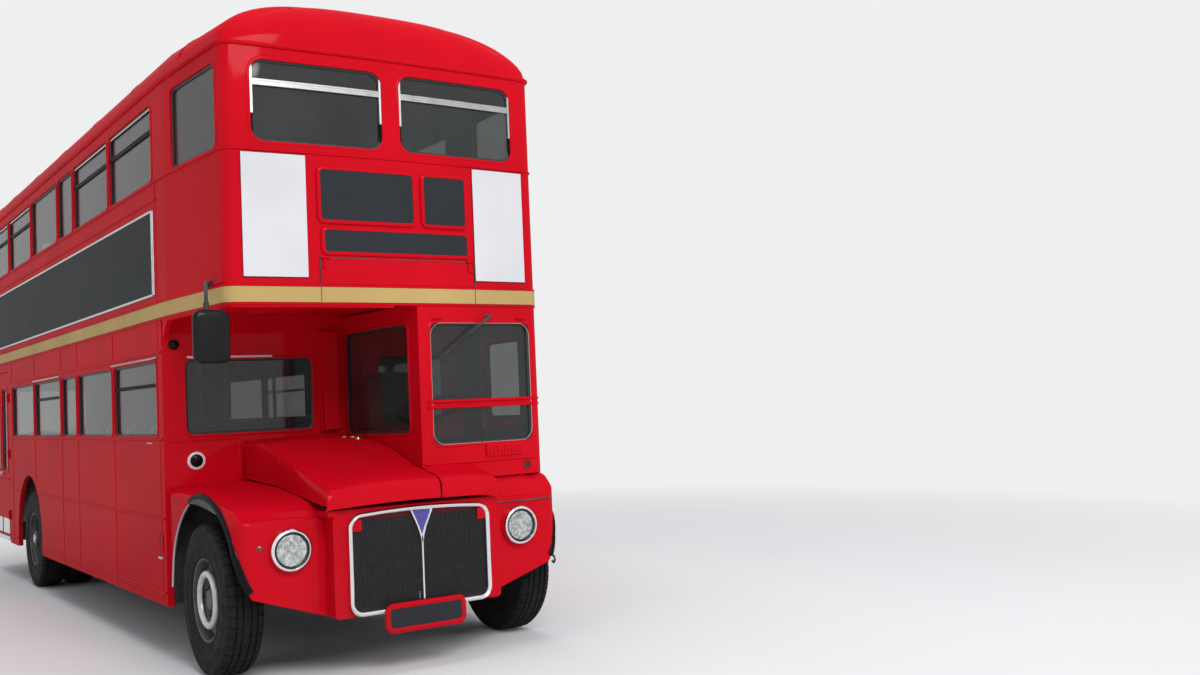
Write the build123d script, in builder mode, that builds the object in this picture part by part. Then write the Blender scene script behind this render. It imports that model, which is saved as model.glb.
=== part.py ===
# Half-cab double decker bus, in millimetres.
# The origin is on the ground under the middle of the body. +Z is up, the bus faces -Y,
# and its right-hand side, with the entrance, faces -X. The cab is on the +X side.
import os

from build123d import *

# Overall sizes
LENGTH = 9090
WIDTH = 2440
WHEELBASE = 5842
HALF_WIDTH = WIDTH / 2
FRONT_Y = -LENGTH / 2
REAR_Y = LENGTH / 2

# Levels, built up from the axles
TYRE_R = 500
AXLE_Z = TYRE_R
SKIRT_Z = 380
FLOOR_Z = AXLE_Z + 200
PLATFORM_Z = FLOOR_Z - 260
CAB_FLOOR_Z = FLOOR_Z + 430
LOWER_SILL_Z = FLOOR_Z + 870
LOWER_HEAD_Z = LOWER_SILL_Z + 540
BAND_Z = LOWER_HEAD_Z + 300
BAND_HEIGHT = 100
UPPER_FLOOR_Z = BAND_Z + 130
UPPER_SILL_Z = UPPER_FLOOR_Z + 870
UPPER_HEAD_Z = UPPER_SILL_Z + 555
CANT_Z = UPPER_HEAD_Z + 115
ROOF_RISE = 400
HEIGHT = CANT_Z + ROOF_RISE

# Walls, floors and glass
WALL = 45
ROOF_THICK = 30
ROOF_CROWN = 160
ROOF_SIDE_R = 300
FLOOR_THICK = 60
PLATFORM_THICK = 40
GLASS_THICK = 6
GLASS_INSET = 20
FIT = 0.2
BAND_PROUD = 8

# Plan of the body: the sides taper in towards a slightly bowed front
UPPER_FRONT_Y = FRONT_Y + 325
FRONT_HALF = HALF_WIDTH - 70
FRONT_BOW = 45
FRONT_CORNER = 90
REAR_CORNER = 260
BULKHEAD_Y = FRONT_Y + 1560
FRONT_AXLE_Y = BULKHEAD_Y - 720
REAR_AXLE_Y = FRONT_AXLE_Y + WHEELBASE
TAPER_END_Y = BULKHEAD_Y - 160
BULKHEAD_THICK = 40

# Side windows: whole bays, and a half bay in the middle of the bus
BAY = 1320
HALF_BAY = 680
REAR_BAY = 950
PILLAR = 80
WINDOW_CORNER = 55
FIRST_BAY_Y = BULKHEAD_Y + 140
BAY_LENGTHS = (BAY, BAY, HALF_BAY, BAY, BAY)
QUARTER_LENGTH = 800
QUARTER_SETBACK = 105
BAYS_END_Y = FIRST_BAY_Y + sum(BAY_LENGTHS)

# Upper front windows and the panels under them
FRONT_POST = 128
FRONT_WINDOW_HALF = HALF_WIDTH - 253
FRONT_SILL_Z = UPPER_SILL_Z + 40
FRONT_HEAD_Z = UPPER_HEAD_Z + 20
FRONT_WINDOW_CORNER = 90
BOARD_THICK = 8
SIDE_BOARD_Z = (BAND_Z + 175, UPPER_SILL_Z - 220)
FRONT_BOARD_Z = (BAND_Z + 160, FRONT_SILL_Z - 75)
FRONT_BOARD_X = (620, 1040)
DISPLAY_THICK = 14

# Entrance behind the rear wheel, on the right-hand side
ENTRANCE_Y = BAYS_END_Y + 180
ENTRANCE_WIDTH = 960
ENTRANCE_HEAD_Z = PLATFORM_Z + 1860
LEAF_THICK = 35
LEAF_GAP = 8
LEAF_END_Y = ENTRANCE_Y + ENTRANCE_WIDTH
HINGE_PIN_R = 5
HINGE_BARREL_R = 9

# Cab
CAB_WALL_X = 150
CAB_WALL = 35
CAB_FLOOR_THICK = 45
SCREEN_X = (240, 1060)
SCREEN_Z = (CAB_FLOOR_Z + 300, BAND_Z - 135)
CAB_DOOR_GAP = 8
CAB_DOOR_THICK = 26
CAB_DOOR_WIDTH = 760
CAB_DOOR_Z = (CAB_FLOOR_Z + 70, BAND_Z - 140)
CAB_DOOR_FRONT = 860
STEER_WHEEL_R = 240
STEER_COLUMN_R = 22

# Bonnet, wings and the panel round the radiator
BONNET_X = (-640, CAB_WALL_X - 10)
BONNET_BACK_Z = FLOOR_Z + 800
BONNET_LIP_Z = (FLOOR_Z + 400, FLOOR_Z + 515)
BONNET_CROWN = (  # share of the way forward, share of the fall
    (0.0, 0.0),
    (0.19, 0.035),
    (0.37, 0.12),
    (0.63, 0.40),
    (0.78, 0.63),
    (0.98, 1.0),
)
BONNET_THICK = 30
BONNET_HINGE_SETBACK = 14
BONNET_HINGE_RISE = 4
BONNET_EAR = 16
WING_X = (600, HALF_WIDTH - 20)
WING_FRONT_Y = FRONT_AXLE_Y - TYRE_R - 140
WING_TOPS = {-1: (FLOOR_Z + 545, FLOOR_Z + 425), 1: (FLOOR_Z + 485, FLOOR_Z + 485)}
WING_SHOULDER = {-1: 130, 1: 70}
WING_LIP_Z = FLOOR_Z + 360
WING_BOTTOM_Z = FLOOR_Z - 245
WING_WALL = 20
WING_CORNER = 150
ARCH_R = TYRE_R + 160
RADIATOR_X = 540
RADIATOR_Z = (FLOOR_Z - 285, FLOOR_Z + 370)
NOSE_Y = FRONT_Y + 65
LAMP_X = 835
LAMP_Z = FLOOR_Z + 170
LAMP_R = 130

# Running gear
TYRE_WIDTH = 250
RIM_R = 262
RIM_THICK = 16
TYRE_X = HALF_WIDTH - 155
TWIN_PITCH = 295
BEAM_HALF = 45
TUBE_R = 55
KINGPIN_X = TYRE_X - 165
KINGPIN_R = 20
SPINDLE_R = 45
HUB_R = 150
RUNNING_FIT = 0.05
RAIL_X = (390, 470)
RAIL_Z = (AXLE_Z + 60, FLOOR_Z - FLOOR_THICK)
ENGINE_HALF = 330
ENGINE_FRONT_Y = FRONT_Y + 330
ENGINE_BACK_Y = BULKHEAD_Y - 60
GEARBOX_HALF = 200
GEARBOX_LENGTH = 440
SHAFT_R = 40
WHEEL_BOX_X = 600
WHEEL_BOX_HALF = TYRE_R + 155
WHEEL_BOX_Z = AXLE_Z + TYRE_R + 180
WHEEL_BOX_WALL = 20

# Seats
SEAT_WIDTH = 880
SEAT_INNER_X = 240
SEAT_PITCH = 720
SEAT_DEPTH = 420
SEAT_HEIGHT = 440
SEAT_BACK = 960
SEAT_PAD = 110
LOWER_ROWS = 5
UPPER_ROWS_RIGHT = 10
UPPER_ROWS_LEFT = 8
BENCH_X = 700

# Stair at the back on the left-hand side
STEPS = 9
STEP_RUN = 190
STAIR_X = (560, HALF_WIDTH - 70)
STAIR_FOOT_Y = REAR_Y - 180

os.makedirs("parts", exist_ok=True)


def save(piece, name):
    """Label one finished piece and write its file."""
    piece.part.label = name
    export_step(piece.part, f"parts/{name}.step")


def block(x0, x1, y0, y1, z0, z1, mode=Mode.ADD):
    """A box between two corners, in the open part."""
    with Locations(((x0 + x1) / 2, (y0 + y1) / 2, (z0 + z1) / 2)):
        Box(abs(x1 - x0), abs(y1 - y0), abs(z1 - z0), mode=mode)


def side_block(side, x0, x1, y0, y1, z0, z1, mode=Mode.ADD):
    """A box given for the left-hand side, or its mirror image where side is -1."""
    xs = sorted((side * x0, side * x1))
    block(xs[0], xs[1], y0, y1, z0, z1, mode)


def rod(start, end, radius, mode=Mode.ADD):
    """A round bar from one point to another, in the open part."""
    run = Vector(*tuple(end)) - Vector(*tuple(start))
    with BuildSketch(Plane(origin=start, z_dir=run)) as section:
        Circle(radius)
    extrude(section.sketch, amount=run.length, mode=mode)


def plan_face(z, inset=0):
    """The body's plan outline at one level, drawn in by inset all round."""
    with BuildSketch(Plane.XY.offset(z)) as plan:
        with BuildLine():
            Polyline(
                (-FRONT_HALF, UPPER_FRONT_Y),
                (-HALF_WIDTH, TAPER_END_Y),
                (-HALF_WIDTH, REAR_Y),
                (HALF_WIDTH, REAR_Y),
                (HALF_WIDTH, TAPER_END_Y),
                (FRONT_HALF, UPPER_FRONT_Y),
            )
            ThreePointArc(
                (FRONT_HALF, UPPER_FRONT_Y),
                (0, UPPER_FRONT_Y - FRONT_BOW),
                (-FRONT_HALF, UPPER_FRONT_Y),
            )
        make_face()
        fillet(plan.vertices().group_by(Axis.Y)[0], FRONT_CORNER)
        fillet(plan.vertices().group_by(Axis.Y)[-1], REAR_CORNER)
        if inset:
            offset(amount=-inset)
    return plan.sketch


def front_surface_y(x):
    """Where the bowed front of the body lies, x across from its middle."""
    radius = (FRONT_HALF**2 + FRONT_BOW**2) / (2 * FRONT_BOW)
    return UPPER_FRONT_Y - FRONT_BOW + radius - (radius**2 - x**2) ** 0.5


def wall_ring(z0, z1, outer=0, inner=WALL):
    """The body wall between two levels, from its outer to its inner face."""
    extrude(plan_face(z0, outer), amount=z1 - z0)
    extrude(plan_face(z0, inner), amount=z1 - z0, mode=Mode.SUBTRACT)


def keep(x0, x1, y0, y1, z0, z1):
    """Keep only what lies between two corners."""
    block(x0, x1, y0, y1, z0, z1, Mode.INTERSECT)


def window_face(plane, spans, z0, z1, corner, fit=0):
    """Round-cornered windows side by side, as (start, end) spans on a plane."""
    with BuildSketch(plane) as panes:
        for start, end in spans:
            with Locations(((start + end) / 2, (z0 + z1) / 2)):
                RectangleRounded(end - start - 2 * fit, z1 - z0 - 2 * fit, corner - fit)
    return panes.sketch


def cut_side(side, spans, z0, z1, corner=WINDOW_CORNER):
    """Cut windows through the wall of one side: -1 is right, 1 is left."""
    panes = window_face(Plane.YZ, spans, z0, z1, corner)
    extrude(panes, amount=side * WIDTH, mode=Mode.SUBTRACT)


def bay_spans():
    """The start and end of each side window, between its pillars."""
    spans = []
    start = FIRST_BAY_Y
    for length in BAY_LENGTHS:
        spans.append((start, start + length - PILLAR))
        start += length
    return spans


def wheel_plane(y):
    """The upright plane through an axle, where local x is across the bus and y is up."""
    return Plane.XZ.offset(-y)


def turned(y, points):
    """A solid of revolution about the axle at y, from (x, radius) points."""
    with BuildSketch(wheel_plane(y)) as profile:
        with BuildLine():
            Polyline(*[(x, AXLE_Z + radius) for x, radius in points], close=True)
        make_face()
    revolve(profile.sketch, axis=Axis((0, y, AXLE_Z), (1, 0, 0)))


LOWER_SPANS = bay_spans()
QUARTER_Y = UPPER_FRONT_Y + QUARTER_SETBACK
QUARTER_SPAN = (QUARTER_Y, QUARTER_Y + QUARTER_LENGTH)
UPPER_SPANS = bay_spans() + [(BAYS_END_Y, BAYS_END_Y + REAR_BAY)]
INNER_X = HALF_WIDTH - WALL
BULKHEAD_BACK_Y = BULKHEAD_Y + BULKHEAD_THICK
REAR_PANEL_Y = LEAF_END_Y + 30

# Underframe: two rails with cross members, seats for the springs and a towing eye
TOW_EYE_R = 22
TOW_EYE_LENGTH = 60
TOW_EYE_Y = FRONT_Y + 135
FRONT_CROSS_Y = FRONT_Y + 200
RAIL_END_Y = ENTRANCE_Y - 60
CROSS_Y = (FRONT_CROSS_Y, BULKHEAD_Y, -1200, 500, RAIL_END_Y - 60)
with BuildPart() as underframe:
    for side in (-1, 1):
        side_block(side, *RAIL_X, FRONT_Y + 120, RAIL_END_Y, *RAIL_Z)
        for axle_y, axle_top in ((FRONT_AXLE_Y, AXLE_Z + BEAM_HALF), (REAR_AXLE_Y, AXLE_Z + TUBE_R)):
            side_block(side, *RAIL_X, axle_y - 60, axle_y + 60, axle_top, RAIL_Z[0])
        for bearer_y in (ENGINE_FRONT_Y + 120, ENGINE_BACK_Y - 120):
            bearer = (bearer_y - 40, bearer_y + 40, RAIL_Z[0], RAIL_Z[0] + 40)
            side_block(side, ENGINE_HALF, RAIL_X[0], *bearer)
    for cross_y in CROSS_Y:
        block(-RAIL_X[0], RAIL_X[0], cross_y - 30, cross_y + 30, *RAIL_Z)
    block(-60, 60, TOW_EYE_Y - 50, FRONT_CROSS_Y, RAIL_Z[0] - TOW_EYE_LENGTH, RAIL_Z[0])
    rod((0, TOW_EYE_Y, 0), (0, TOW_EYE_Y, RAIL_Z[0]), TOW_EYE_R, Mode.SUBTRACT)
save(underframe, "underframe")

# Engine and gearbox: one plain block between the rails, over the front axle
with BuildPart() as engine_block:
    block(-ENGINE_HALF, ENGINE_HALF, ENGINE_FRONT_Y, ENGINE_BACK_Y, RAIL_Z[0], CAB_FLOOR_Z - 80)
    block(
        -GEARBOX_HALF, GEARBOX_HALF, ENGINE_BACK_Y - GEARBOX_LENGTH, ENGINE_BACK_Y,
        AXLE_Z - SHAFT_R, RAIL_Z[0],
    )
save(engine_block, "engine_block")

# Lower floor, the boxes over the rear wheels, and the platform one step down
RISER_Y = ENTRANCE_Y - 40
RISER_THICK = 20
with BuildPart() as lower_floor:
    extrude(plan_face(PLATFORM_Z - PLATFORM_THICK, WALL), amount=PLATFORM_THICK)
    keep(-HALF_WIDTH, HALF_WIDTH, RISER_Y - RISER_THICK, REAR_Y, 0, HEIGHT)
    sill_z = (PLATFORM_Z - PLATFORM_THICK, PLATFORM_Z)
    side_block(-1, INNER_X, HALF_WIDTH, ENTRANCE_Y, LEAF_END_Y, *sill_z)
    block(-INNER_X, INNER_X, RISER_Y - RISER_THICK, RISER_Y, PLATFORM_Z, FLOOR_Z)
    block(-INNER_X, INNER_X, BULKHEAD_BACK_Y, RISER_Y, FLOOR_Z - FLOOR_THICK, FLOOR_Z)
    for side in (-1, 1):
        box_y = (REAR_AXLE_Y - WHEEL_BOX_HALF, REAR_AXLE_Y + WHEEL_BOX_HALF)
        side_block(side, WHEEL_BOX_X, INNER_X, *box_y, FLOOR_Z - FLOOR_THICK, WHEEL_BOX_Z)
        inner_y = (box_y[0] + WHEEL_BOX_WALL, box_y[1] - WHEEL_BOX_WALL)
        side_block(
            side, WHEEL_BOX_X + WHEEL_BOX_WALL, HALF_WIDTH, *inner_y,
            0, WHEEL_BOX_Z - WHEEL_BOX_WALL, Mode.SUBTRACT,
        )
save(lower_floor, "lower_floor")

# Bulkhead between the saloon and the bonnet, with its two windows
BULKHEAD_SPANS = ((-1060, -110), (420, 1000))
with BuildPart() as front_bulkhead:
    block(-INNER_X, INNER_X, BULKHEAD_Y, BULKHEAD_BACK_Y, FLOOR_Z - FLOOR_THICK, BAND_Z + 20)
    for side in (-1, 1):
        side_block(side, 560, INNER_X, BULKHEAD_Y, BULKHEAD_BACK_Y, SKIRT_Z + 60, FLOOR_Z)
    panes = window_face(Plane.XZ, BULKHEAD_SPANS, LOWER_SILL_Z, LOWER_HEAD_Z, WINDOW_CORNER)
    extrude(panes, amount=LENGTH, both=True, mode=Mode.SUBTRACT)
    hinge_y = BULKHEAD_Y - BONNET_HINGE_SETBACK
    hinge_z = BONNET_BACK_Z + BONNET_HINGE_RISE
    for ear_x in (BONNET_X[0], BONNET_X[1] - BONNET_EAR):
        block(ear_x, ear_x + BONNET_EAR, hinge_y, BULKHEAD_Y, hinge_z - 8, hinge_z + 8)
    rod((BONNET_X[0], hinge_y, hinge_z), (BONNET_X[1], hinge_y, hinge_z), HINGE_PIN_R)
save(front_bulkhead, "front_bulkhead")


def cut_rear_arch(side):
    """Cut the round arch of the rear wheels in one side wall."""
    with BuildSketch(Plane.YZ) as arch:
        with Locations((REAR_AXLE_Y, AXLE_Z)):
            Circle(ARCH_R)
        with Locations((REAR_AXLE_Y, AXLE_Z - ARCH_R / 2)):
            Rectangle(2 * ARCH_R, ARCH_R)
    extrude(arch.sketch, amount=side * WIDTH, mode=Mode.SUBTRACT)


# Hinges of the entrance leaves: ears and pins on the wall, barrels on the leaves
HINGE_X = HALF_WIDTH + 10
HINGE_BARREL = 80
HINGE_EAR = 12
HINGE_LEVELS = (PLATFORM_Z + 250, (PLATFORM_Z + ENTRANCE_HEAD_Z) / 2, ENTRANCE_HEAD_Z - 300)
HINGES = (  # edge of the opening, and the way from it into the opening
    (ENTRANCE_Y, 1),
    (LEAF_END_Y, -1),
)


def hinge_pins():
    """The ears and pins of both leaves, in the open part."""
    for edge_y, way in HINGES:
        pin_y = edge_y + way * LEAF_GAP / 2
        for level in HINGE_LEVELS:
            ends = (level - HINGE_BARREL / 2 - 1, level + HINGE_BARREL / 2 + 1)
            for ear_z in (ends[0] - HINGE_EAR, ends[1]):
                ear_y = sorted((edge_y - way * 30, pin_y))
                side_block(
                    -1, HALF_WIDTH, HINGE_X + HINGE_PIN_R, *ear_y, ear_z, ear_z + HINGE_EAR
                )
            rod(
                (-HINGE_X, pin_y, ends[0] - HINGE_EAR), (-HINGE_X, pin_y, ends[1] + HINGE_EAR),
                HINGE_PIN_R,
            )


def hinge_barrels(edge_y, way):
    """The barrels and straps of one leaf, in the open part."""
    pin_y = edge_y + way * LEAF_GAP / 2
    for level in HINGE_LEVELS:
        z0 = level - HINGE_BARREL / 2
        z1 = level + HINGE_BARREL / 2
        strap_y = sorted((pin_y + way * 2, pin_y + way * 60))
        side_block(-1, HALF_WIDTH, HINGE_X, *strap_y, z0, z1)
        rod((-HINGE_X, pin_y, z0), (-HINGE_X, pin_y, z1), HINGE_BARREL_R)
        rod((-HINGE_X, pin_y, z0), (-HINGE_X, pin_y, z1), HINGE_PIN_R + RUNNING_FIT, Mode.SUBTRACT)


# Lower side walls, the right one with the entrance in it
with BuildPart() as lower_side_right:
    wall_ring(SKIRT_Z, BAND_Z)
    keep(-HALF_WIDTH, -INNER_X + 1, BULKHEAD_Y, REAR_PANEL_Y, 0, HEIGHT)
    cut_side(-1, LOWER_SPANS, LOWER_SILL_Z, LOWER_HEAD_Z)
    cut_rear_arch(-1)
    side_block(
        -1, INNER_X - 100, HALF_WIDTH + 10, ENTRANCE_Y, LEAF_END_Y,
        0, ENTRANCE_HEAD_Z, Mode.SUBTRACT,
    )
    hinge_pins()
save(lower_side_right, "lower_side_right")

with BuildPart() as lower_side_left:
    wall_ring(SKIRT_Z, BAND_Z)
    keep(INNER_X - 1, HALF_WIDTH, BULKHEAD_Y, REAR_PANEL_Y, 0, HEIGHT)
    cut_side(1, LOWER_SPANS, LOWER_SILL_Z, LOWER_HEAD_Z)
    cut_rear_arch(1)
save(lower_side_left, "lower_side_left")

# Lower back wall with the platform's window
LOWER_REAR_SPAN = ((-930, -120),)
with BuildPart() as lower_rear:
    wall_ring(SKIRT_Z, BAND_Z)
    keep(-HALF_WIDTH, HALF_WIDTH, REAR_PANEL_Y, REAR_Y, 0, HEIGHT)
    panes = window_face(Plane.XZ, LOWER_REAR_SPAN, LOWER_SILL_Z, LOWER_HEAD_Z, WINDOW_CORNER)
    extrude(panes, amount=-LENGTH, mode=Mode.SUBTRACT)
save(lower_rear, "lower_rear")

# Entrance door: two leaves, each hinged at its outer edge
LEAF_WIDTH = ENTRANCE_WIDTH / 2 - 1.5 * LEAF_GAP
LEAF_Z = (PLATFORM_Z + LEAF_GAP, ENTRANCE_HEAD_Z - LEAF_GAP)
LEAF_WINDOW_Z = (PLATFORM_Z + 740, LOWER_HEAD_Z)
LEAF_FRAME = 70
LEAVES = (  # name, start of the leaf along the bus, its hinges
    ("front", ENTRANCE_Y + LEAF_GAP, HINGES[0]),
    ("rear", ENTRANCE_Y + ENTRANCE_WIDTH / 2 + LEAF_GAP / 2, HINGES[1]),
)
for leaf_name, leaf_y, leaf_hinges in LEAVES:
    leaf_span = ((leaf_y + LEAF_FRAME, leaf_y + LEAF_WIDTH - LEAF_FRAME),)
    with BuildPart() as entrance_leaf:
        side_block(-1, HALF_WIDTH - LEAF_THICK, HALF_WIDTH, leaf_y, leaf_y + LEAF_WIDTH, *LEAF_Z)
        cut_side(-1, leaf_span, *LEAF_WINDOW_Z)
        hinge_barrels(*leaf_hinges)
    save(entrance_leaf, f"entrance_leaf_{leaf_name}")
    with BuildPart() as entrance_glass:
        leaf_plane = Plane.YZ.offset(-HALF_WIDTH + GLASS_INSET)
        pane = window_face(leaf_plane, leaf_span, *LEAF_WINDOW_Z, WINDOW_CORNER, FIT)
        extrude(pane, amount=-GLASS_THICK)
    save(entrance_glass, f"entrance_glass_{leaf_name}")

# Cab shell: front, sloping side and inner wall over the cab floor
TAPER_RUN = Vector(HALF_WIDTH - FRONT_HALF, TAPER_END_Y - UPPER_FRONT_Y, 0).normalized()
TAPER_NORMAL = Vector(TAPER_RUN.Y, -TAPER_RUN.X, 0)
DOOR_PLANE = Plane(origin=(HALF_WIDTH, TAPER_END_Y, 0), x_dir=TAPER_RUN, z_dir=TAPER_NORMAL)
DOOR_SPAN = ((-CAB_DOOR_FRONT, -CAB_DOOR_FRONT + CAB_DOOR_WIDTH),)
CAB_OPENING_MARGIN = 40
DOOR_LIGHT_SPAN = ((DOOR_SPAN[0][0] + 90, DOOR_SPAN[0][1] - 90),)
DOOR_LIGHT_Z = (LOWER_SILL_Z + 20, CAB_DOOR_Z[1] - 90)
RUNNER_GAP = 0.3
CAB_SIDE_WINDOW_Y = (UPPER_FRONT_Y + 125, BULKHEAD_Y - 45)
CAB_SIDE_WINDOW_Z = (CAB_FLOOR_Z + 385, BAND_Z - 130)
DRIVER_X = 450
COLUMN_FOOT = (DRIVER_X, UPPER_FRONT_Y + 210, CAB_FLOOR_Z - 10)
COLUMN_HEAD = (DRIVER_X, UPPER_FRONT_Y + 420, CAB_FLOOR_Z + 520)
CAB_BASE_Z = CAB_FLOOR_Z - CAB_FLOOR_THICK
CAB_STEP_X = (WING_X[0] - 30, WING_X[0] - 1)
with BuildPart() as cab_shell:
    wall_ring(CAB_BASE_Z, BAND_Z)
    keep(CAB_WALL_X, HALF_WIDTH, 2 * FRONT_Y, BULKHEAD_Y, 0, HEIGHT)
    block(CAB_STEP_X[1], WIDTH, 2 * FRONT_Y, BULKHEAD_Y, 0, WING_TOPS[1][0], Mode.SUBTRACT)
    screen = window_face(Plane.XZ, (SCREEN_X,), *SCREEN_Z, WINDOW_CORNER)
    extrude(screen, amount=LENGTH, mode=Mode.SUBTRACT)
    door_hole = window_face(DOOR_PLANE, DOOR_SPAN, *CAB_DOOR_Z, WINDOW_CORNER, CAB_OPENING_MARGIN)
    extrude(door_hole, amount=3 * WALL, both=True, mode=Mode.SUBTRACT)
    cab_front_y = front_surface_y(CAB_WALL_X) + WALL / 2
    block(CAB_WALL_X, CAB_WALL_X + CAB_WALL, cab_front_y, BULKHEAD_Y, CAB_BASE_Z, BAND_Z)
    side_light = window_face(
        Plane.YZ.offset(CAB_WALL_X), (CAB_SIDE_WINDOW_Y,), *CAB_SIDE_WINDOW_Z, WINDOW_CORNER
    )
    extrude(side_light, amount=CAB_WALL, mode=Mode.SUBTRACT)
    block(CAB_WALL_X, CAB_STEP_X[1], cab_front_y, BULKHEAD_Y, CAB_BASE_Z, CAB_FLOOR_Z)
    block(*CAB_STEP_X, cab_front_y, BULKHEAD_Y, CAB_BASE_Z, WING_TOPS[1][0])
    rod(COLUMN_FOOT, COLUMN_HEAD, STEER_COLUMN_R)
    keep(CAB_WALL_X, HALF_WIDTH, 2 * FRONT_Y, BULKHEAD_Y, CAB_BASE_Z, BAND_Z)
save(cab_shell, "cab_shell")

# Sliding cab door on the outside of the sloping side
with BuildPart() as cab_door:
    door = window_face(DOOR_PLANE.offset(CAB_DOOR_GAP), DOOR_SPAN, *CAB_DOOR_Z, WINDOW_CORNER)
    extrude(door, amount=CAB_DOOR_THICK)
    light = window_face(DOOR_PLANE, DOOR_LIGHT_SPAN, *DOOR_LIGHT_Z, WINDOW_CORNER)
    extrude(light, amount=WALL, mode=Mode.SUBTRACT)
    with BuildSketch(DOOR_PLANE.offset(RUNNER_GAP)) as runners:
        for runner_z in (CAB_DOOR_Z[0] + 20, CAB_DOOR_Z[1] - 20):
            with Locations((sum(DOOR_SPAN[0]) / 2, runner_z)):
                Rectangle(CAB_DOOR_WIDTH - 120, 16)
    extrude(runners.sketch, amount=CAB_DOOR_GAP - RUNNER_GAP)
save(cab_door, "cab_door")

with BuildPart() as cab_door_glass:
    pane_plane = DOOR_PLANE.offset(CAB_DOOR_GAP + 10)
    light = window_face(pane_plane, DOOR_LIGHT_SPAN, *DOOR_LIGHT_Z, WINDOW_CORNER, FIT)
    extrude(light, amount=GLASS_THICK)
save(cab_door_glass, "cab_door_glass")

# Driver's seat and steering wheel
DRIVER_Y = UPPER_FRONT_Y + 640
with BuildPart() as driver_seat:
    block(DRIVER_X - 60, DRIVER_X + 60, DRIVER_Y + 100, DRIVER_Y + 220, CAB_FLOOR_Z, CAB_FLOOR_Z + 250)
    block(DRIVER_X - 220, DRIVER_X + 220, DRIVER_Y, DRIVER_Y + 420, CAB_FLOOR_Z + 250, CAB_FLOOR_Z + 370)
    block(
        DRIVER_X - 220, DRIVER_X + 220, DRIVER_Y + 340, DRIVER_Y + 440,
        CAB_FLOOR_Z + 250, CAB_FLOOR_Z + 850,
    )
save(driver_seat, "driver_seat")

STEER_AXIS = (Vector(*COLUMN_HEAD) - Vector(*COLUMN_FOOT)).normalized()
WHEEL_CENTRE = Vector(*COLUMN_HEAD) + STEER_AXIS * 30
STEER_RIM_R = 16
with BuildPart() as steering_wheel:
    wheel_face = Plane(origin=WHEEL_CENTRE, z_dir=STEER_AXIS)
    ring_section = Plane(origin=WHEEL_CENTRE, x_dir=wheel_face.x_dir, z_dir=wheel_face.y_dir)
    with BuildSketch(ring_section) as rim_section:
        with Locations((STEER_WHEEL_R - STEER_RIM_R, 0)):
            Circle(STEER_RIM_R)
    revolve(rim_section.sketch, axis=Axis(WHEEL_CENTRE, STEER_AXIS))
    with BuildSketch(wheel_face) as spokes:
        Circle(50)
        with PolarLocations(0, 3):
            with Locations((STEER_WHEEL_R / 2, 0)):
                Rectangle(STEER_WHEEL_R - 2 * STEER_RIM_R, 30)
    extrude(spokes.sketch, amount=8, both=True)
    rod(Vector(*COLUMN_HEAD) + STEER_AXIS * RUNNER_GAP, WHEEL_CENTRE, 30)
save(steering_wheel, "steering_wheel")

# Bonnet lid: a sloping top with a turned-down right edge, hinged along its back
BONNET_HINGE_Y = BULKHEAD_Y - BONNET_HINGE_SETBACK
BONNET_HINGE_Z = BONNET_BACK_Z + BONNET_HINGE_RISE
BONNET_BACK_Y = BULKHEAD_Y - 26
BONNET_FRONT_Y = FRONT_Y + 15
with BuildPart() as bonnet:
    lid_fall = BONNET_BACK_Z - BONNET_LIP_Z[1]
    lid_top = [
        (BONNET_BACK_Y + along * (BONNET_FRONT_Y - BONNET_BACK_Y), BONNET_BACK_Z - fall * lid_fall)
        for along, fall in BONNET_CROWN
    ]
    lid_under = [(lid_y, lid_z - BONNET_THICK) for lid_y, lid_z in lid_top]
    lip_front = [(BONNET_FRONT_Y, BONNET_LIP_Z[1] - 20), (BONNET_FRONT_Y, BONNET_LIP_Z[0])]
    lip_back_y = BONNET_FRONT_Y + BONNET_THICK
    with BuildSketch(Plane.YZ.offset(BONNET_X[0])) as lid_side:
        with BuildLine():
            Polyline(*lid_top, *lip_front, (lip_back_y, BONNET_LIP_Z[0]), *lid_under[::-1], close=True)
        make_face()
    extrude(lid_side.sketch, amount=BONNET_X[1] - BONNET_X[0])
    skirt_front_z = BONNET_LIP_Z[0] - 10
    with BuildSketch(Plane.YZ.offset(BONNET_X[0])) as lid_skirt:
        with BuildLine():
            Polyline(
                *[(lid_y, lid_z - 5) for lid_y, lid_z in lid_top],
                (BONNET_FRONT_Y, BONNET_LIP_Z[1] - 25),
                (BONNET_FRONT_Y, skirt_front_z),
                (WING_FRONT_Y, skirt_front_z),
                (WING_FRONT_Y + WING_SHOULDER[-1], WING_TOPS[-1][1] + 8),
                (BONNET_BACK_Y, WING_TOPS[-1][0] + 8),
                close=True,
            )
        make_face()
    extrude(lid_skirt.sketch, amount=BONNET_THICK)
    barrel_x = (BONNET_X[0] + BONNET_EAR + 2, BONNET_X[1] - BONNET_EAR - 2)
    block(*barrel_x, BONNET_BACK_Y - 30, BONNET_HINGE_Y, BONNET_BACK_Z - 14, BONNET_BACK_Z)
    hinge_line = [(x, BONNET_HINGE_Y, BONNET_HINGE_Z) for x in barrel_x]
    rod(*hinge_line, HINGE_BARREL_R)
    rod(*hinge_line, HINGE_PIN_R + RUNNING_FIT, Mode.SUBTRACT)
save(bonnet, "bonnet")


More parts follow.
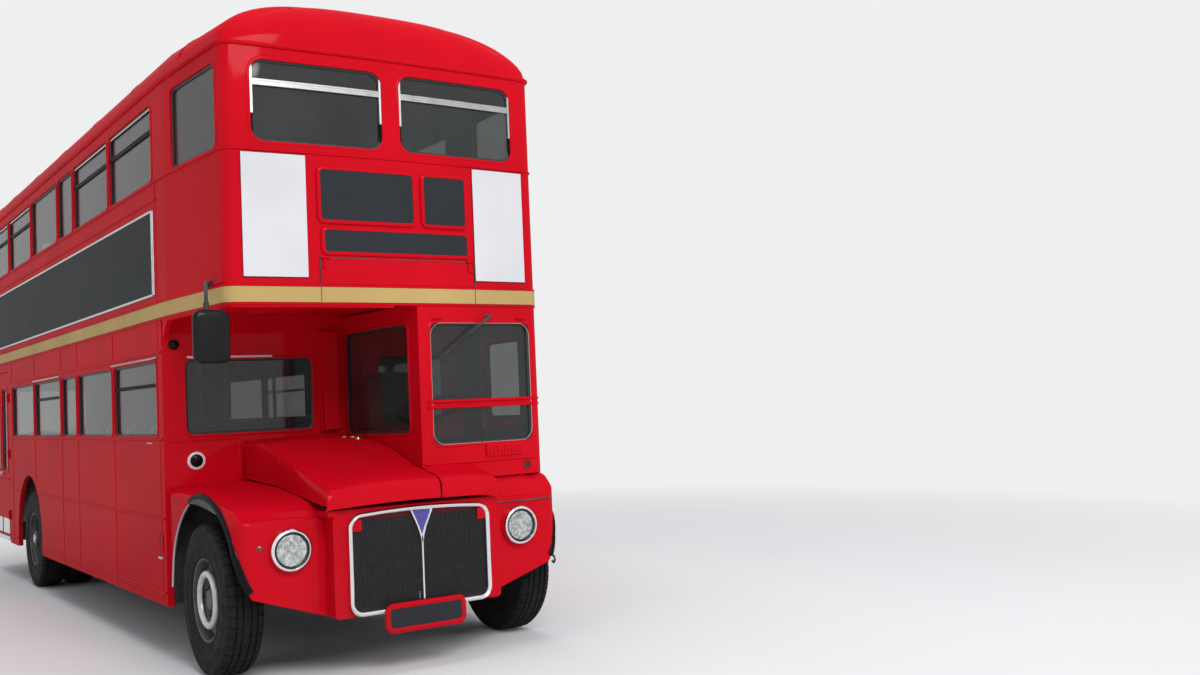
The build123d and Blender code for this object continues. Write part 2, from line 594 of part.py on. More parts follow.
def wing_form(side, wall):
    """The closed outer form of a wing, drawn in by wall on every face but its back."""
    with BuildPart() as form:
        with BuildSketch(Plane.YZ) as profile:
            with BuildLine():
                Polyline(
                    (BULKHEAD_Y - FIT, SKIRT_Z - 4 * wall),
                    (BULKHEAD_Y - FIT, WING_TOPS[side][0] - wall),
                    (WING_FRONT_Y + WING_SHOULDER[side], WING_TOPS[side][1] - wall),
                    (WING_FRONT_Y + wall, WING_LIP_Z - wall),
                    (WING_FRONT_Y + wall, WING_BOTTOM_Z - 4 * wall),
                    (WING_FRONT_Y + 260, WING_BOTTOM_Z - 75 - 4 * wall),
                    close=True,
                )
            make_face()
        extrude(profile.sketch, amount=side * (WING_X[1] - wall))
        outer = form.edges().filter_by(Axis.Z).sort_by(Axis.Y)[0:2].sort_by(Axis.X)
        corner = outer[0] if side < 0 else outer[-1]
        fillet(corner, WING_CORNER - wall)
        side_block(side, 0, WING_X[0], 2 * FRONT_Y, 0, 0, HEIGHT, Mode.SUBTRACT)
    return form.part


def front_arch(side, wall_inner):
    """The round opening for a front wheel, from wall_inner out past the wing's skin."""
    with BuildSketch(Plane.YZ.offset(side * wall_inner)) as arch:
        with Locations((FRONT_AXLE_Y, AXLE_Z)):
            Circle(ARCH_R)
        with Locations((FRONT_AXLE_Y, AXLE_Z - ARCH_R / 2)):
            Rectangle(2 * ARCH_R, ARCH_R)
    return arch.sketch


# Wings: open at the bottom, the back and towards the engine
for side, wing_name in ((-1, "right_wing"), (1, "left_wing")):
    outer_form = wing_form(side, 0)
    inner_form = wing_form(side, WING_WALL)
    with BuildPart() as wing:
        add(outer_form)
        add(inner_form, mode=Mode.SUBTRACT)
        side_block(
            side, 0, WING_X[1] - WING_WALL, WING_FRONT_Y + 270, BULKHEAD_Y,
            0, WING_BOTTOM_Z, Mode.SUBTRACT,
        )
        extrude(front_arch(side, WING_X[1] - 60), amount=side * 120, mode=Mode.SUBTRACT)
    save(wing, wing_name)

# Front panel round the radiator, with the fixed cowl under the cab
PANEL_TOP_Z = BONNET_LIP_Z[0] - 30
COWL_BACK_Z = CAB_FLOOR_Z + 180
with BuildPart() as front_panel:
    block(-WING_X[0], WING_X[0], NOSE_Y, WING_FRONT_Y + 90, RADIATOR_Z[0], PANEL_TOP_Z)
    block(
        -WING_X[0] + 25, WING_X[0] - 25, NOSE_Y + 25, WING_FRONT_Y + 100,
        0, PANEL_TOP_Z - 25, Mode.SUBTRACT,
    )
    with BuildSketch(Plane.XZ.offset(-NOSE_Y)) as mouth:
        with Locations((0, sum(RADIATOR_Z) / 2 + 12)):
            RectangleRounded(2 * RADIATOR_X - 60, RADIATOR_Z[1] - RADIATOR_Z[0] - 60, 70)
    extrude(mouth.sketch, amount=60, both=True, mode=Mode.SUBTRACT)
    with BuildSketch(Plane.YZ.offset(CAB_WALL_X)) as cowl:
        with BuildLine():
            Polyline(
                (UPPER_FRONT_Y, PANEL_TOP_Z),
                (UPPER_FRONT_Y, COWL_BACK_Z),
                (BONNET_FRONT_Y + 30, BONNET_LIP_Z[1]),
                (BONNET_FRONT_Y, BONNET_LIP_Z[1] - 20),
                (BONNET_FRONT_Y, BONNET_LIP_Z[0]),
                (NOSE_Y, BONNET_LIP_Z[0]),
                (NOSE_Y, PANEL_TOP_Z),
                close=True,
            )
        make_face()
    extrude(cowl.sketch, amount=WING_X[0] - CAB_WALL_X)
    extrude(plan_face(PANEL_TOP_Z), amount=CAB_FLOOR_Z, mode=Mode.SUBTRACT)
save(front_panel, "front_panel")

# Bright radiator surround with its centre bar, standing on the front panel
SURROUND_DEPTH = 50
SURROUND_BAR = 34
with BuildPart() as radiator_surround:
    with BuildSketch(Plane.XZ.offset(-NOSE_Y)) as frame_face:
        with Locations((0, sum(RADIATOR_Z) / 2)):
            RectangleRounded(2 * RADIATOR_X, RADIATOR_Z[1] - RADIATOR_Z[0], 90)
            RectangleRounded(
                2 * (RADIATOR_X - SURROUND_BAR),
                RADIATOR_Z[1] - RADIATOR_Z[0] - 2 * SURROUND_BAR,
                60,
                mode=Mode.SUBTRACT,
            )
            Rectangle(SURROUND_BAR - 8, RADIATOR_Z[1] - RADIATOR_Z[0] - SURROUND_BAR)
    extrude(frame_face.sketch, amount=SURROUND_DEPTH)
save(radiator_surround, "radiator_surround")

# Mesh grille set in the surround, one panel each side of the centre bar
with BuildPart() as grille:
    for side in (-1, 1):
        side_block(
            side, SURROUND_BAR / 2 - 4 + FIT, RADIATOR_X - SURROUND_BAR - FIT,
            NOSE_Y - 26, NOSE_Y - 14,
            RADIATOR_Z[0] + SURROUND_BAR + 60, RADIATOR_Z[1] - SURROUND_BAR - 60,
        )
        side_block(
            side, SURROUND_BAR / 2 - 4 + FIT, RADIATOR_X - SURROUND_BAR - 62,
            NOSE_Y - 26, NOSE_Y - 14,
            RADIATOR_Z[0] + SURROUND_BAR + FIT, RADIATOR_Z[1] - SURROUND_BAR - FIT,
        )
save(grille, "grille")

# Headlamps on the wings
with BuildPart() as headlamps:
    for side in (-1, 1):
        rod((side * LAMP_X, WING_FRONT_Y, LAMP_Z), (side * LAMP_X, WING_FRONT_Y - 55, LAMP_Z), LAMP_R)
save(headlamps, "headlamps")

# Number plate, hung in front of the surround's lower edge
PLATE_HALF = 290
PLATE_Z = (RADIATOR_Z[0] - 150, RADIATOR_Z[0] + 40)
with BuildPart() as number_plate:
    block(-PLATE_HALF, PLATE_HALF, FRONT_Y, NOSE_Y - SURROUND_DEPTH, *PLATE_Z)
save(number_plate, "number_plate")

# Upper floor, which is also the canopy over the bonnet, with the stair's opening
STAIR_TOP_Y = STAIR_FOOT_Y - STEPS * STEP_RUN
with BuildPart() as mid_floor:
    extrude(plan_face(BAND_Z + 20, WALL), amount=UPPER_FLOOR_Z - BAND_Z - 20)
    block(
        STAIR_X[0] - 20, STAIR_X[1] + 10, STAIR_TOP_Y - 10, STAIR_FOOT_Y - 2 * STEP_RUN,
        0, HEIGHT, Mode.SUBTRACT,
    )
save(mid_floor, "mid_floor")

# Band all round at the upper floor
with BuildPart() as waist_band:
    wall_ring(BAND_Z, BAND_Z + BAND_HEIGHT, -BAND_PROUD, 0)
save(waist_band, "waist_band")

# Upper walls: front, two sides and back, meeting at real panel joints
UPPER_JOINT_Y = QUARTER_Y - 40
UPPER_REAR_Y = UPPER_SPANS[-1][1] + 60
FRONT_SPANS = ((-FRONT_WINDOW_HALF, -FRONT_POST / 2), (FRONT_POST / 2, FRONT_WINDOW_HALF))
with BuildPart() as upper_front:
    wall_ring(BAND_Z, CANT_Z)
    keep(-WIDTH, WIDTH, 2 * FRONT_Y, UPPER_JOINT_Y, 0, HEIGHT)
    panes = window_face(Plane.XZ, FRONT_SPANS, FRONT_SILL_Z, FRONT_HEAD_Z, FRONT_WINDOW_CORNER)
    extrude(panes, amount=LENGTH, mode=Mode.SUBTRACT)
save(upper_front, "upper_front")

for side, side_name in ((-1, "right"), (1, "left")):
    with BuildPart() as upper_side:
        wall_ring(BAND_Z, CANT_Z)
        side_block(side, -WIDTH, 0, 2 * FRONT_Y, 2 * REAR_Y, 0, HEIGHT, Mode.SUBTRACT)
        keep(-WIDTH, WIDTH, UPPER_JOINT_Y, UPPER_REAR_Y, 0, HEIGHT)
        cut_side(side, [QUARTER_SPAN] + UPPER_SPANS, UPPER_SILL_Z, UPPER_HEAD_Z)
    save(upper_side, f"upper_side_{side_name}")

UPPER_REAR_SPAN = ((-620, 620),)
with BuildPart() as upper_rear:
    wall_ring(BAND_Z, CANT_Z)
    keep(-WIDTH, WIDTH, UPPER_REAR_Y, 2 * REAR_Y, 0, HEIGHT)
    panes = window_face(Plane.XZ, UPPER_REAR_SPAN, UPPER_SILL_Z, UPPER_HEAD_Z, WINDOW_CORNER)
    extrude(panes, amount=-LENGTH, mode=Mode.SUBTRACT)
save(upper_rear, "upper_rear")


def roof_form(inset):
    """The domed roof: the plan outline cut by a cross section and a side profile."""
    eaves_z = CANT_Z
    side_z = HEIGHT - ROOF_CROWN
    with BuildPart() as form:
        extrude(plan_face(eaves_z, inset), amount=HEIGHT)
        with BuildSketch(Plane.XZ.offset(-2 * REAR_Y)) as across:
            with BuildLine():
                half = HALF_WIDTH + 1 - inset
                Polyline((-half, side_z - inset), (-half, 0), (half, 0), (half, side_z - inset))
                ThreePointArc((half, side_z - inset), (0, HEIGHT - inset), (-half, side_z - inset))
            make_face()
            fillet(across.vertices().group_by(Axis.Y)[-1], ROOF_SIDE_R - inset)
        extrude(across.sketch, amount=2 * LENGTH, mode=Mode.INTERSECT)
        with BuildSketch(Plane.YZ.offset(-WIDTH)) as along:
            with BuildLine():
                front = UPPER_FRONT_Y - FRONT_BOW - 1 + inset
                rear = REAR_Y + 1 - inset
                top = HEIGHT + 1 - inset
                foot = CANT_Z - 50
                radius = top - foot
                part_way = radius * (1 - 0.5**0.5)
                Polyline((front + radius, top), (rear - radius, top))
                ThreePointArc((rear - radius, top), (rear - part_way, top - part_way), (rear, foot))
                Polyline((rear, foot), (rear, 0), (front, 0), (front, foot))
                ThreePointArc((front, foot), (front + part_way, top - part_way), (front + radius, top))
            make_face()
        extrude(along.sketch, amount=2 * WIDTH, mode=Mode.INTERSECT)
    return form.part


# Roof: a thin domed shell on the upper walls
ROOF_OUTER = roof_form(0)
ROOF_INNER = roof_form(ROOF_THICK)
with BuildPart() as roof:
    add(ROOF_OUTER)
    add(ROOF_INNER, mode=Mode.SUBTRACT)
save(roof, "roof")

# Boards for posters: one long one each side and two on the front
with BuildPart() as advert_boards:
    for side in (-1, 1):
        side_block(
            side, HALF_WIDTH, HALF_WIDTH + BOARD_THICK, FIRST_BAY_Y + 100,
            BAYS_END_Y + 220, *SIDE_BOARD_Z,
        )
    wall_ring(FRONT_BOARD_Z[0], FRONT_BOARD_Z[1], -BOARD_THICK, 0)
    block(
        -FRONT_BOARD_X[0], FRONT_BOARD_X[0], 2 * FRONT_Y, 2 * REAR_Y, *FRONT_BOARD_Z, Mode.SUBTRACT
    )
    for side in (-1, 1):
        side_block(
            side, FRONT_BOARD_X[1], 2 * WIDTH, 2 * FRONT_Y, FIRST_BAY_Y - 1,
            *FRONT_BOARD_Z, Mode.SUBTRACT,
        )
        side_block(
            side, 0, HALF_WIDTH, 0, 2 * REAR_Y, *FRONT_BOARD_Z, Mode.SUBTRACT,
        )
    with BuildSketch(Plane.XZ) as wanted:
        for side in (-1, 1):
            with Locations((side * (HALF_WIDTH + 30), sum(SIDE_BOARD_Z) / 2)):
                Rectangle(60, SIDE_BOARD_Z[1] - SIDE_BOARD_Z[0])
            with Locations((side * sum(FRONT_BOARD_X) / 2, sum(FRONT_BOARD_Z) / 2)):
                Rectangle(FRONT_BOARD_X[1] - FRONT_BOARD_X[0], FRONT_BOARD_Z[1] - FRONT_BOARD_Z[0])
    extrude(wanted.sketch, amount=2 * LENGTH, both=True, mode=Mode.INTERSECT)
save(advert_boards, "advert_boards")

# Blank display panels between the front boards: x from, x to, and the same up from the band
DISPLAYS = (
    (-535, 150, 535, 890),
    (215, 555, 535, 890),
    (-515, 565, 325, 490),
)
with BuildPart() as display_panels:
    wall_ring(FRONT_BOARD_Z[0], FRONT_BOARD_Z[1], -DISPLAY_THICK, 0)
    with BuildSketch(Plane.XZ) as panels:
        for x0, x1, z0, z1 in DISPLAYS:
            with Locations(((x0 + x1) / 2, BAND_Z + (z0 + z1) / 2)):
                RectangleRounded(x1 - x0, z1 - z0, 35)
    extrude(panels.sketch, amount=LENGTH, mode=Mode.INTERSECT)
save(display_panels, "display_panels")

# Glass, set in the middle of the walls
with BuildPart() as lower_glass:
    wall_ring(LOWER_SILL_Z, LOWER_HEAD_Z, GLASS_INSET, GLASS_INSET + GLASS_THICK)
    keep(-WIDTH, WIDTH, BULKHEAD_Y, REAR_Y - WALL - 5, 0, HEIGHT)
    panes = window_face(Plane.YZ, LOWER_SPANS, LOWER_SILL_Z, LOWER_HEAD_Z, WINDOW_CORNER, FIT)
    extrude(panes, amount=WIDTH, both=True, mode=Mode.INTERSECT)
    panes = window_face(
        Plane.XZ.offset(-BULKHEAD_Y - 17), BULKHEAD_SPANS, LOWER_SILL_Z, LOWER_HEAD_Z, WINDOW_CORNER, FIT
    )
    extrude(panes, amount=-GLASS_THICK)
    panes = window_face(
        Plane.XZ.offset(-REAR_Y + GLASS_INSET), LOWER_REAR_SPAN, LOWER_SILL_Z, LOWER_HEAD_Z,
        WINDOW_CORNER, FIT,
    )
    extrude(panes, amount=GLASS_THICK)
save(lower_glass, "lower_glass")

with BuildPart() as upper_glass:
    wall_ring(UPPER_SILL_Z, UPPER_HEAD_Z, GLASS_INSET, GLASS_INSET + GLASS_THICK)
    spans = [QUARTER_SPAN] + UPPER_SPANS
    panes = window_face(Plane.YZ, spans, UPPER_SILL_Z, UPPER_HEAD_Z, WINDOW_CORNER, FIT)
    extrude(panes, amount=WIDTH, both=True, mode=Mode.INTERSECT)
    panes = window_face(
        Plane.XZ.offset(-REAR_Y + GLASS_INSET), UPPER_REAR_SPAN, UPPER_SILL_Z, UPPER_HEAD_Z,
        WINDOW_CORNER, FIT,
    )
    extrude(panes, amount=GLASS_THICK)
save(upper_glass, "upper_glass")

with BuildPart() as front_glass:
    wall_ring(FRONT_SILL_Z, FRONT_HEAD_Z, GLASS_INSET, GLASS_INSET + GLASS_THICK)
    panes = window_face(Plane.XZ, FRONT_SPANS, FRONT_SILL_Z, FRONT_HEAD_Z, FRONT_WINDOW_CORNER, FIT)
    extrude(panes, amount=LENGTH, mode=Mode.INTERSECT)
save(front_glass, "front_glass")

with BuildPart() as cab_glass:
    wall_ring(SCREEN_Z[0], SCREEN_Z[1], GLASS_INSET, GLASS_INSET + GLASS_THICK)
    panes = window_face(Plane.XZ, (SCREEN_X,), *SCREEN_Z, WINDOW_CORNER, FIT)
    extrude(panes, amount=LENGTH, mode=Mode.INTERSECT)
    pane = window_face(
        Plane.YZ.offset(CAB_WALL_X + 15), (CAB_SIDE_WINDOW_Y,), *CAB_SIDE_WINDOW_Z, WINDOW_CORNER, FIT
    )
    extrude(pane, amount=GLASS_THICK)
save(cab_glass, "cab_glass")

# Stair: solid treads rising forward, closed on the side of the aisle
STEP_RISE = (UPPER_FLOOR_Z - PLATFORM_Z) / STEPS
STAIR_THICK = 40
with BuildPart() as staircase:
    for step in range(STEPS):
        step_y = STAIR_FOOT_Y - (step + 1) * STEP_RUN
        top_z = PLATFORM_Z + (step + 1) * STEP_RISE
        block(*STAIR_X, step_y, step_y + STEP_RUN, top_z - STEP_RISE - STAIR_THICK * (step > 0), top_z)
    keep(-WIDTH, WIDTH, STAIR_TOP_Y, REAR_Y, PLATFORM_Z, UPPER_FLOOR_Z)
save(staircase, "staircase")

# Upright grab poles beside the aisle, from floor to ceiling
POLE_R = 16
POLE_SPOTS = ((-SEAT_INNER_X, 900), (SEAT_INNER_X, 900), (-SEAT_INNER_X, -1260), (SEAT_INNER_X, -1260))
with BuildPart() as grab_poles:
    for pole_x, pole_y in POLE_SPOTS:
        rod((pole_x * 0.9, pole_y, FLOOR_Z), (pole_x * 0.9, pole_y, BAND_Z + 20), POLE_R)
    rod((-900, ENTRANCE_Y + 120, PLATFORM_Z), (-900, ENTRANCE_Y + 120, BAND_Z + 20), POLE_R)
save(grab_poles, "grab_poles")


def seat(side, y, floor_z):
    """A double seat that faces forward, with its plinth, in the open part."""
    x0 = SEAT_INNER_X
    x1 = SEAT_INNER_X + SEAT_WIDTH
    pad_z = floor_z + SEAT_HEIGHT - SEAT_PAD
    side_block(side, x0, x1, y, y + SEAT_DEPTH, pad_z, floor_z + SEAT_HEIGHT)
    side_block(side, x0, x1, y + SEAT_DEPTH - 90, y + SEAT_DEPTH, pad_z, floor_z + SEAT_BACK)
    side_block(side, x0 + 60, x0 + 100, y + 60, y + SEAT_DEPTH - 60, floor_z, pad_z)
    side_block(side, x1 - 100, x1 - 60, y + 60, y + SEAT_DEPTH - 60, floor_z, pad_z)


# Lower seats: rows of double seats, and a bench along each wheel box
LOWER_FIRST_SEAT_Y = BULKHEAD_BACK_Y + 330
with BuildPart() as lower_seats:
    for side in (-1, 1):
        for row in range(LOWER_ROWS):
            seat(side, LOWER_FIRST_SEAT_Y + row * SEAT_PITCH, FLOOR_Z)
        bench_y = (REAR_AXLE_Y - WHEEL_BOX_HALF, REAR_AXLE_Y + WHEEL_BOX_HALF - 200)
        side_block(side, BENCH_X, INNER_X - 20, *bench_y, WHEEL_BOX_Z, WHEEL_BOX_Z + SEAT_PAD)
        side_block(
            side, INNER_X - 100, INNER_X - 20, *bench_y, WHEEL_BOX_Z, LOWER_SILL_Z + 60
        )
save(lower_seats, "lower_seats")

# Upper seats
UPPER_FIRST_SEAT_Y = UPPER_FRONT_Y + 520
with BuildPart() as upper_seats:
    for side, rows in ((-1, UPPER_ROWS_RIGHT), (1, UPPER_ROWS_LEFT)):
        for row in range(rows):
            seat(side, UPPER_FIRST_SEAT_Y + row * SEAT_PITCH, UPPER_FLOOR_Z)
save(upper_seats, "upper_seats")

# Windscreen wiper, hanging from a spindle above the screen
WIPER_X = (700, 300)
WIPER_Z = (SCREEN_Z[1] + 42, SCREEN_Z[1] - 245)
with BuildPart() as windscreen_wiper:
    pivot_y = front_surface_y(WIPER_X[0])
    blade_y = pivot_y - 45
    rod((WIPER_X[0], pivot_y - 1, WIPER_Z[0]), (WIPER_X[0], blade_y - 8, WIPER_Z[0]), 14)
    rod((WIPER_X[0], blade_y, WIPER_Z[0]), (WIPER_X[1], blade_y, WIPER_Z[1]), 7)
save(windscreen_wiper, "windscreen_wiper")

# Mirror at the right front corner: a foot on the sloping side, an arm and the head
MIRROR_Z = (BAND_Z - 370, BAND_Z - 30)
MIRROR_X = (HALF_WIDTH - 90, HALF_WIDTH + 110)
MIRROR_Y = UPPER_FRONT_Y - 20
MIRROR_FOOT_Z = BAND_Z + BAND_HEIGHT + 30
MIRROR_ARM_R = 11
with BuildPart() as mirror:
    foot_plane = Plane(
        origin=(-HALF_WIDTH, TAPER_END_Y, 0),
        x_dir=(TAPER_RUN.X, -TAPER_RUN.Y, 0),
        z_dir=(-TAPER_NORMAL.X, TAPER_NORMAL.Y, 0),
    )
    foot_along = (TAPER_END_Y - UPPER_FRONT_Y) - 190
    with BuildSketch(foot_plane) as foot:
        with Locations((foot_along, MIRROR_FOOT_Z)):
            RectangleRounded(60, 50, 10)
    extrude(foot.sketch, amount=14)
    arm_start = foot_plane.from_local_coords((foot_along, MIRROR_FOOT_Z, 13))
    arm_corner = (-MIRROR_X[1] + 60, MIRROR_Y + 40, MIRROR_FOOT_Z)
    rod(arm_start, arm_corner, MIRROR_ARM_R)
    rod(arm_corner, (-MIRROR_X[1] + 60, MIRROR_Y + 40, MIRROR_Z[0] + 60), MIRROR_ARM_R)
    side_block(-1, *MIRROR_X, MIRROR_Y, MIRROR_Y + 45, *MIRROR_Z)
save(mirror, "mirror")

# Front axle beam with an eye for each kingpin
EYE_R = 45
EYE_HALF = 50
with BuildPart() as front_axle:
    beam_z = (AXLE_Z - BEAM_HALF, AXLE_Z + BEAM_HALF)
    block(-KINGPIN_X, KINGPIN_X, FRONT_AXLE_Y - 40, FRONT_AXLE_Y + 40, *beam_z)
    for side in (-1, 1):
        eye = (side * KINGPIN_X, FRONT_AXLE_Y)
        rod((*eye, AXLE_Z - EYE_HALF), (*eye, AXLE_Z + EYE_HALF), EYE_R)
        bore_r = KINGPIN_R + RUNNING_FIT
        rod((*eye, AXLE_Z - 2 * EYE_HALF), (*eye, AXLE_Z + 2 * EYE_HALF), bore_r, Mode.SUBTRACT)
save(front_axle, "front_axle")

# Knuckles: a fork over the eye, its kingpin and the wheel's spindle
FORK_GAP = 6
FORK_THICK = 30
SPINDLE_END = TYRE_X + 65
FORK_PLATE = (KINGPIN_X + EYE_R + 8, KINGPIN_X + EYE_R + 33)
for side, side_name in ((-1, "right"), (1, "left")):
    with BuildPart() as knuckle:
        for level in (-1, 1):
            fork_z = sorted((
                AXLE_Z + level * (EYE_HALF + FORK_GAP),
                AXLE_Z + level * (EYE_HALF + FORK_GAP + FORK_THICK),
            ))
            side_block(
                side, KINGPIN_X - 35, FORK_PLATE[1], FRONT_AXLE_Y - 35, FRONT_AXLE_Y + 35, *fork_z
            )
        reach = EYE_HALF + FORK_GAP + FORK_THICK
        side_block(
            side, *FORK_PLATE, FRONT_AXLE_Y - 35, FRONT_AXLE_Y + 35, AXLE_Z - reach, AXLE_Z + reach
        )
        pin = (side * KINGPIN_X, FRONT_AXLE_Y)
        rod((*pin, AXLE_Z - reach), (*pin, AXLE_Z + reach), KINGPIN_R)
        rod(
            (side * FORK_PLATE[0], FRONT_AXLE_Y, AXLE_Z),
            (side * SPINDLE_END, FRONT_AXLE_Y, AXLE_Z), SPINDLE_R,
        )
    save(knuckle, f"knuckle_{side_name}")


def tyre(side, y, centre_x):
    """One tyre with rounded shoulders, in the open part."""
    half = TYRE_WIDTH / 2
    shoulder = 40
    turned(y, [(side * centre_x + x, r) for x, r in (
        (-half + 15, RIM_R), (half - 15, RIM_R), (half, RIM_R + 70), (half, TYRE_R - shoulder),
        (half - shoulder, TYRE_R), (-half + shoulder, TYRE_R), (-half, TYRE_R - shoulder),
        (-half, RIM_R + 70),
    )])


def rim(side, y, centre_x, disc_x):
    """One rim with its disc at disc_x, in the open part."""
    half = TYRE_WIDTH / 2 - 15
    turned(y, [(side * centre_x + x, r) for x, r in (
        (-half, RIM_R - RIM_THICK), (half, RIM_R - RIM_THICK), (half, RIM_R), (-half, RIM_R),
    )])
    turned(y, [(side * disc_x + x, r) for x, r in (
        (-9, HUB_R - 20), (9, HUB_R - 20), (9, RIM_R - 2), (-9, RIM_R - 2),
    )])


# Front wheels: rim, disc and a closed hub that turns on the spindle
HUB_BACK = FORK_PLATE[1] + 8
HUB_FRONT = TYRE_X + 117
bore = SPINDLE_R + RUNNING_FIT
for side, side_name in ((-1, "right"), (1, "left")):
    with BuildPart() as front_wheel:
        rim(side, FRONT_AXLE_Y, TYRE_X, TYRE_X + 20)
        turned(FRONT_AXLE_Y, [(side * x, r) for x, r in (
            (HUB_BACK, bore), (SPINDLE_END + 10, bore), (SPINDLE_END + 10, 0), (HUB_FRONT, 0),
            (HUB_FRONT, HUB_R - 30), (HUB_FRONT - 20, HUB_R), (TYRE_X + 20, HUB_R), (HUB_BACK, HUB_R - 40),
        )])
    save(front_wheel, f"front_wheel_{side_name}")
    with BuildPart() as front_tyre:
        tyre(side, FRONT_AXLE_Y, TYRE_X)
    save(front_tyre, f"front_tyre_{side_name}")

# Rear axle: a tube with the final drive in the middle, and a spindle each end
REAR_TUBE_END = TYRE_X - TWIN_PITCH - TYRE_WIDTH / 2
REAR_SPINDLE_END = TYRE_X + 55
DRIVE_R = 135
with BuildPart() as rear_axle:
    turned(REAR_AXLE_Y, (
        (-REAR_SPINDLE_END, 0), (-REAR_SPINDLE_END, SPINDLE_R), (-REAR_TUBE_END, SPINDLE_R),
        (-REAR_TUBE_END, TUBE_R), (-200, TUBE_R), (-120, DRIVE_R), (120, DRIVE_R), (200, TUBE_R),
        (REAR_TUBE_END, TUBE_R), (REAR_TUBE_END, SPINDLE_R), (REAR_SPINDLE_END, SPINDLE_R),
        (REAR_SPINDLE_END, 0),
    ))
save(rear_axle, "rear_axle")

# Rear wheels: two rims on one hub each side
for side, side_name in ((-1, "right"), (1, "left")):
    with BuildPart() as rear_wheels:
        rim(side, REAR_AXLE_Y, TYRE_X, TYRE_X - 95)
        rim(side, REAR_AXLE_Y, TYRE_X - TWIN_PITCH, TYRE_X - TWIN_PITCH + 95)
        turned(REAR_AXLE_Y, [(side * x, r) for x, r in (
            (REAR_TUBE_END + 10, bore), (REAR_SPINDLE_END + 10, bore), (REAR_SPINDLE_END + 10, 0),
            (HUB_FRONT, 0), (HUB_FRONT, 80), (TYRE_X - 60, HUB_R), (REAR_TUBE_END + 10, HUB_R),
        )])
    save(rear_wheels, f"rear_wheels_{side_name}")
    with BuildPart() as rear_tyres:
        tyre(side, REAR_AXLE_Y, TYRE_X)
        tyre(side, REAR_AXLE_Y, TYRE_X - TWIN_PITCH)
    save(rear_tyres, f"rear_tyres_{side_name}")

# Propeller shaft from the engine to the final drive
with BuildPart() as propshaft:
    rod((0, ENGINE_BACK_Y, AXLE_Z), (0, REAR_AXLE_Y - DRIVE_R - FIT, AXLE_Z), SHAFT_R)
save(propshaft, "propshaft")

# Fuel tank beside the left rail
TANK_OUTER_X = 1000
TANK_Y = (-1300, -100)
with BuildPart() as fuel_tank:
    block(RAIL_X[1], TANK_OUTER_X, *TANK_Y, AXLE_Z - 80, RAIL_Z[1])
save(fuel_tank, "fuel_tank")
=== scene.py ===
import bisect
import math

import bmesh
import bpy
from mathutils import Matrix, Vector
from mathutils.bvhtree import BVHTree


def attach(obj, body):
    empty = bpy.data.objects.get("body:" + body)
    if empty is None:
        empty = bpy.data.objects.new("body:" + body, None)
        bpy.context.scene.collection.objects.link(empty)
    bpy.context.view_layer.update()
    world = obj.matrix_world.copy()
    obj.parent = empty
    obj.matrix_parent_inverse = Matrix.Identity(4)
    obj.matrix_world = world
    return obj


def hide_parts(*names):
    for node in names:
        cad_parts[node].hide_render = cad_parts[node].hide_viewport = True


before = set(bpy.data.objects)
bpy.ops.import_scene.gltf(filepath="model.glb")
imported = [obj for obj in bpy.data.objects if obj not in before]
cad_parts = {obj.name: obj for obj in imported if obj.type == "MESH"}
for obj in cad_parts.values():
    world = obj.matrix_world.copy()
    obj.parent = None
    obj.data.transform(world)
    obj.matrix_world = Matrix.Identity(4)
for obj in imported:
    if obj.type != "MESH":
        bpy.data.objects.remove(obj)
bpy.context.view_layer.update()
X, Y, Z = (Vector(axis) for axis in ((1, 0, 0), (0, 1, 0), (0, 0, 1)))


def V(*place):
    return Vector(place)


def new_object(name, data):
    piece = bpy.data.objects.new(name, data)
    bpy.context.collection.objects.link(piece)
    return piece


# Plan of the body, in metres
HALF, FRONT_HALF, BOW = 1.22, 1.15, 0.045
FRONT_Y, TAPER_Y, REAR_Y = -4.22, -3.145, 4.545
FRONT_R, REAR_R = 0.09, 0.26
BULKHEAD_Y, WING_Y, NOSE_Y = -2.985, -4.345, -4.48
ARC_R = (FRONT_HALF**2 + BOW**2) / (2 * BOW)
BAND_Z, BAND_TOP = 2.41, 2.51
LOWER_Z, UPPER_Z, FRONT_Z, SCREEN_Z = (1.57, 2.11), (3.41, 3.965), (3.45, 3.985), (1.43, 2.275)
BAYS = ((-2.845, -1.605), (-1.525, -0.285), (-0.205, 0.395), (0.475, 1.715), (1.795, 3.035))
QUARTER, REAR_BAY = (-4.115, -3.315), (3.115, 4.065)
FRONT_PANES = ((-0.967, -0.064), (0.064, 0.967))
SCREEN_X = (0.24, 1.06)
PILLARS = (-2.885, -1.565, -0.245, 0.435, 1.755, 3.075)
FRONT_AXLE, REAR_AXLE, AXLE_Z, ARCH_R = -3.705, 2.137, 0.5, 0.66
ENTRANCE, ENTRANCE_END = 3.295, 4.255
WHEEL_X, INNER_WHEEL_X = 1.065, 0.77
PLATFORM_Z, LOWER_FLOOR, UPPER_FLOOR, CEILING, SEAT_PITCH = 0.44, 0.7, 2.54, 2.431, 0.72


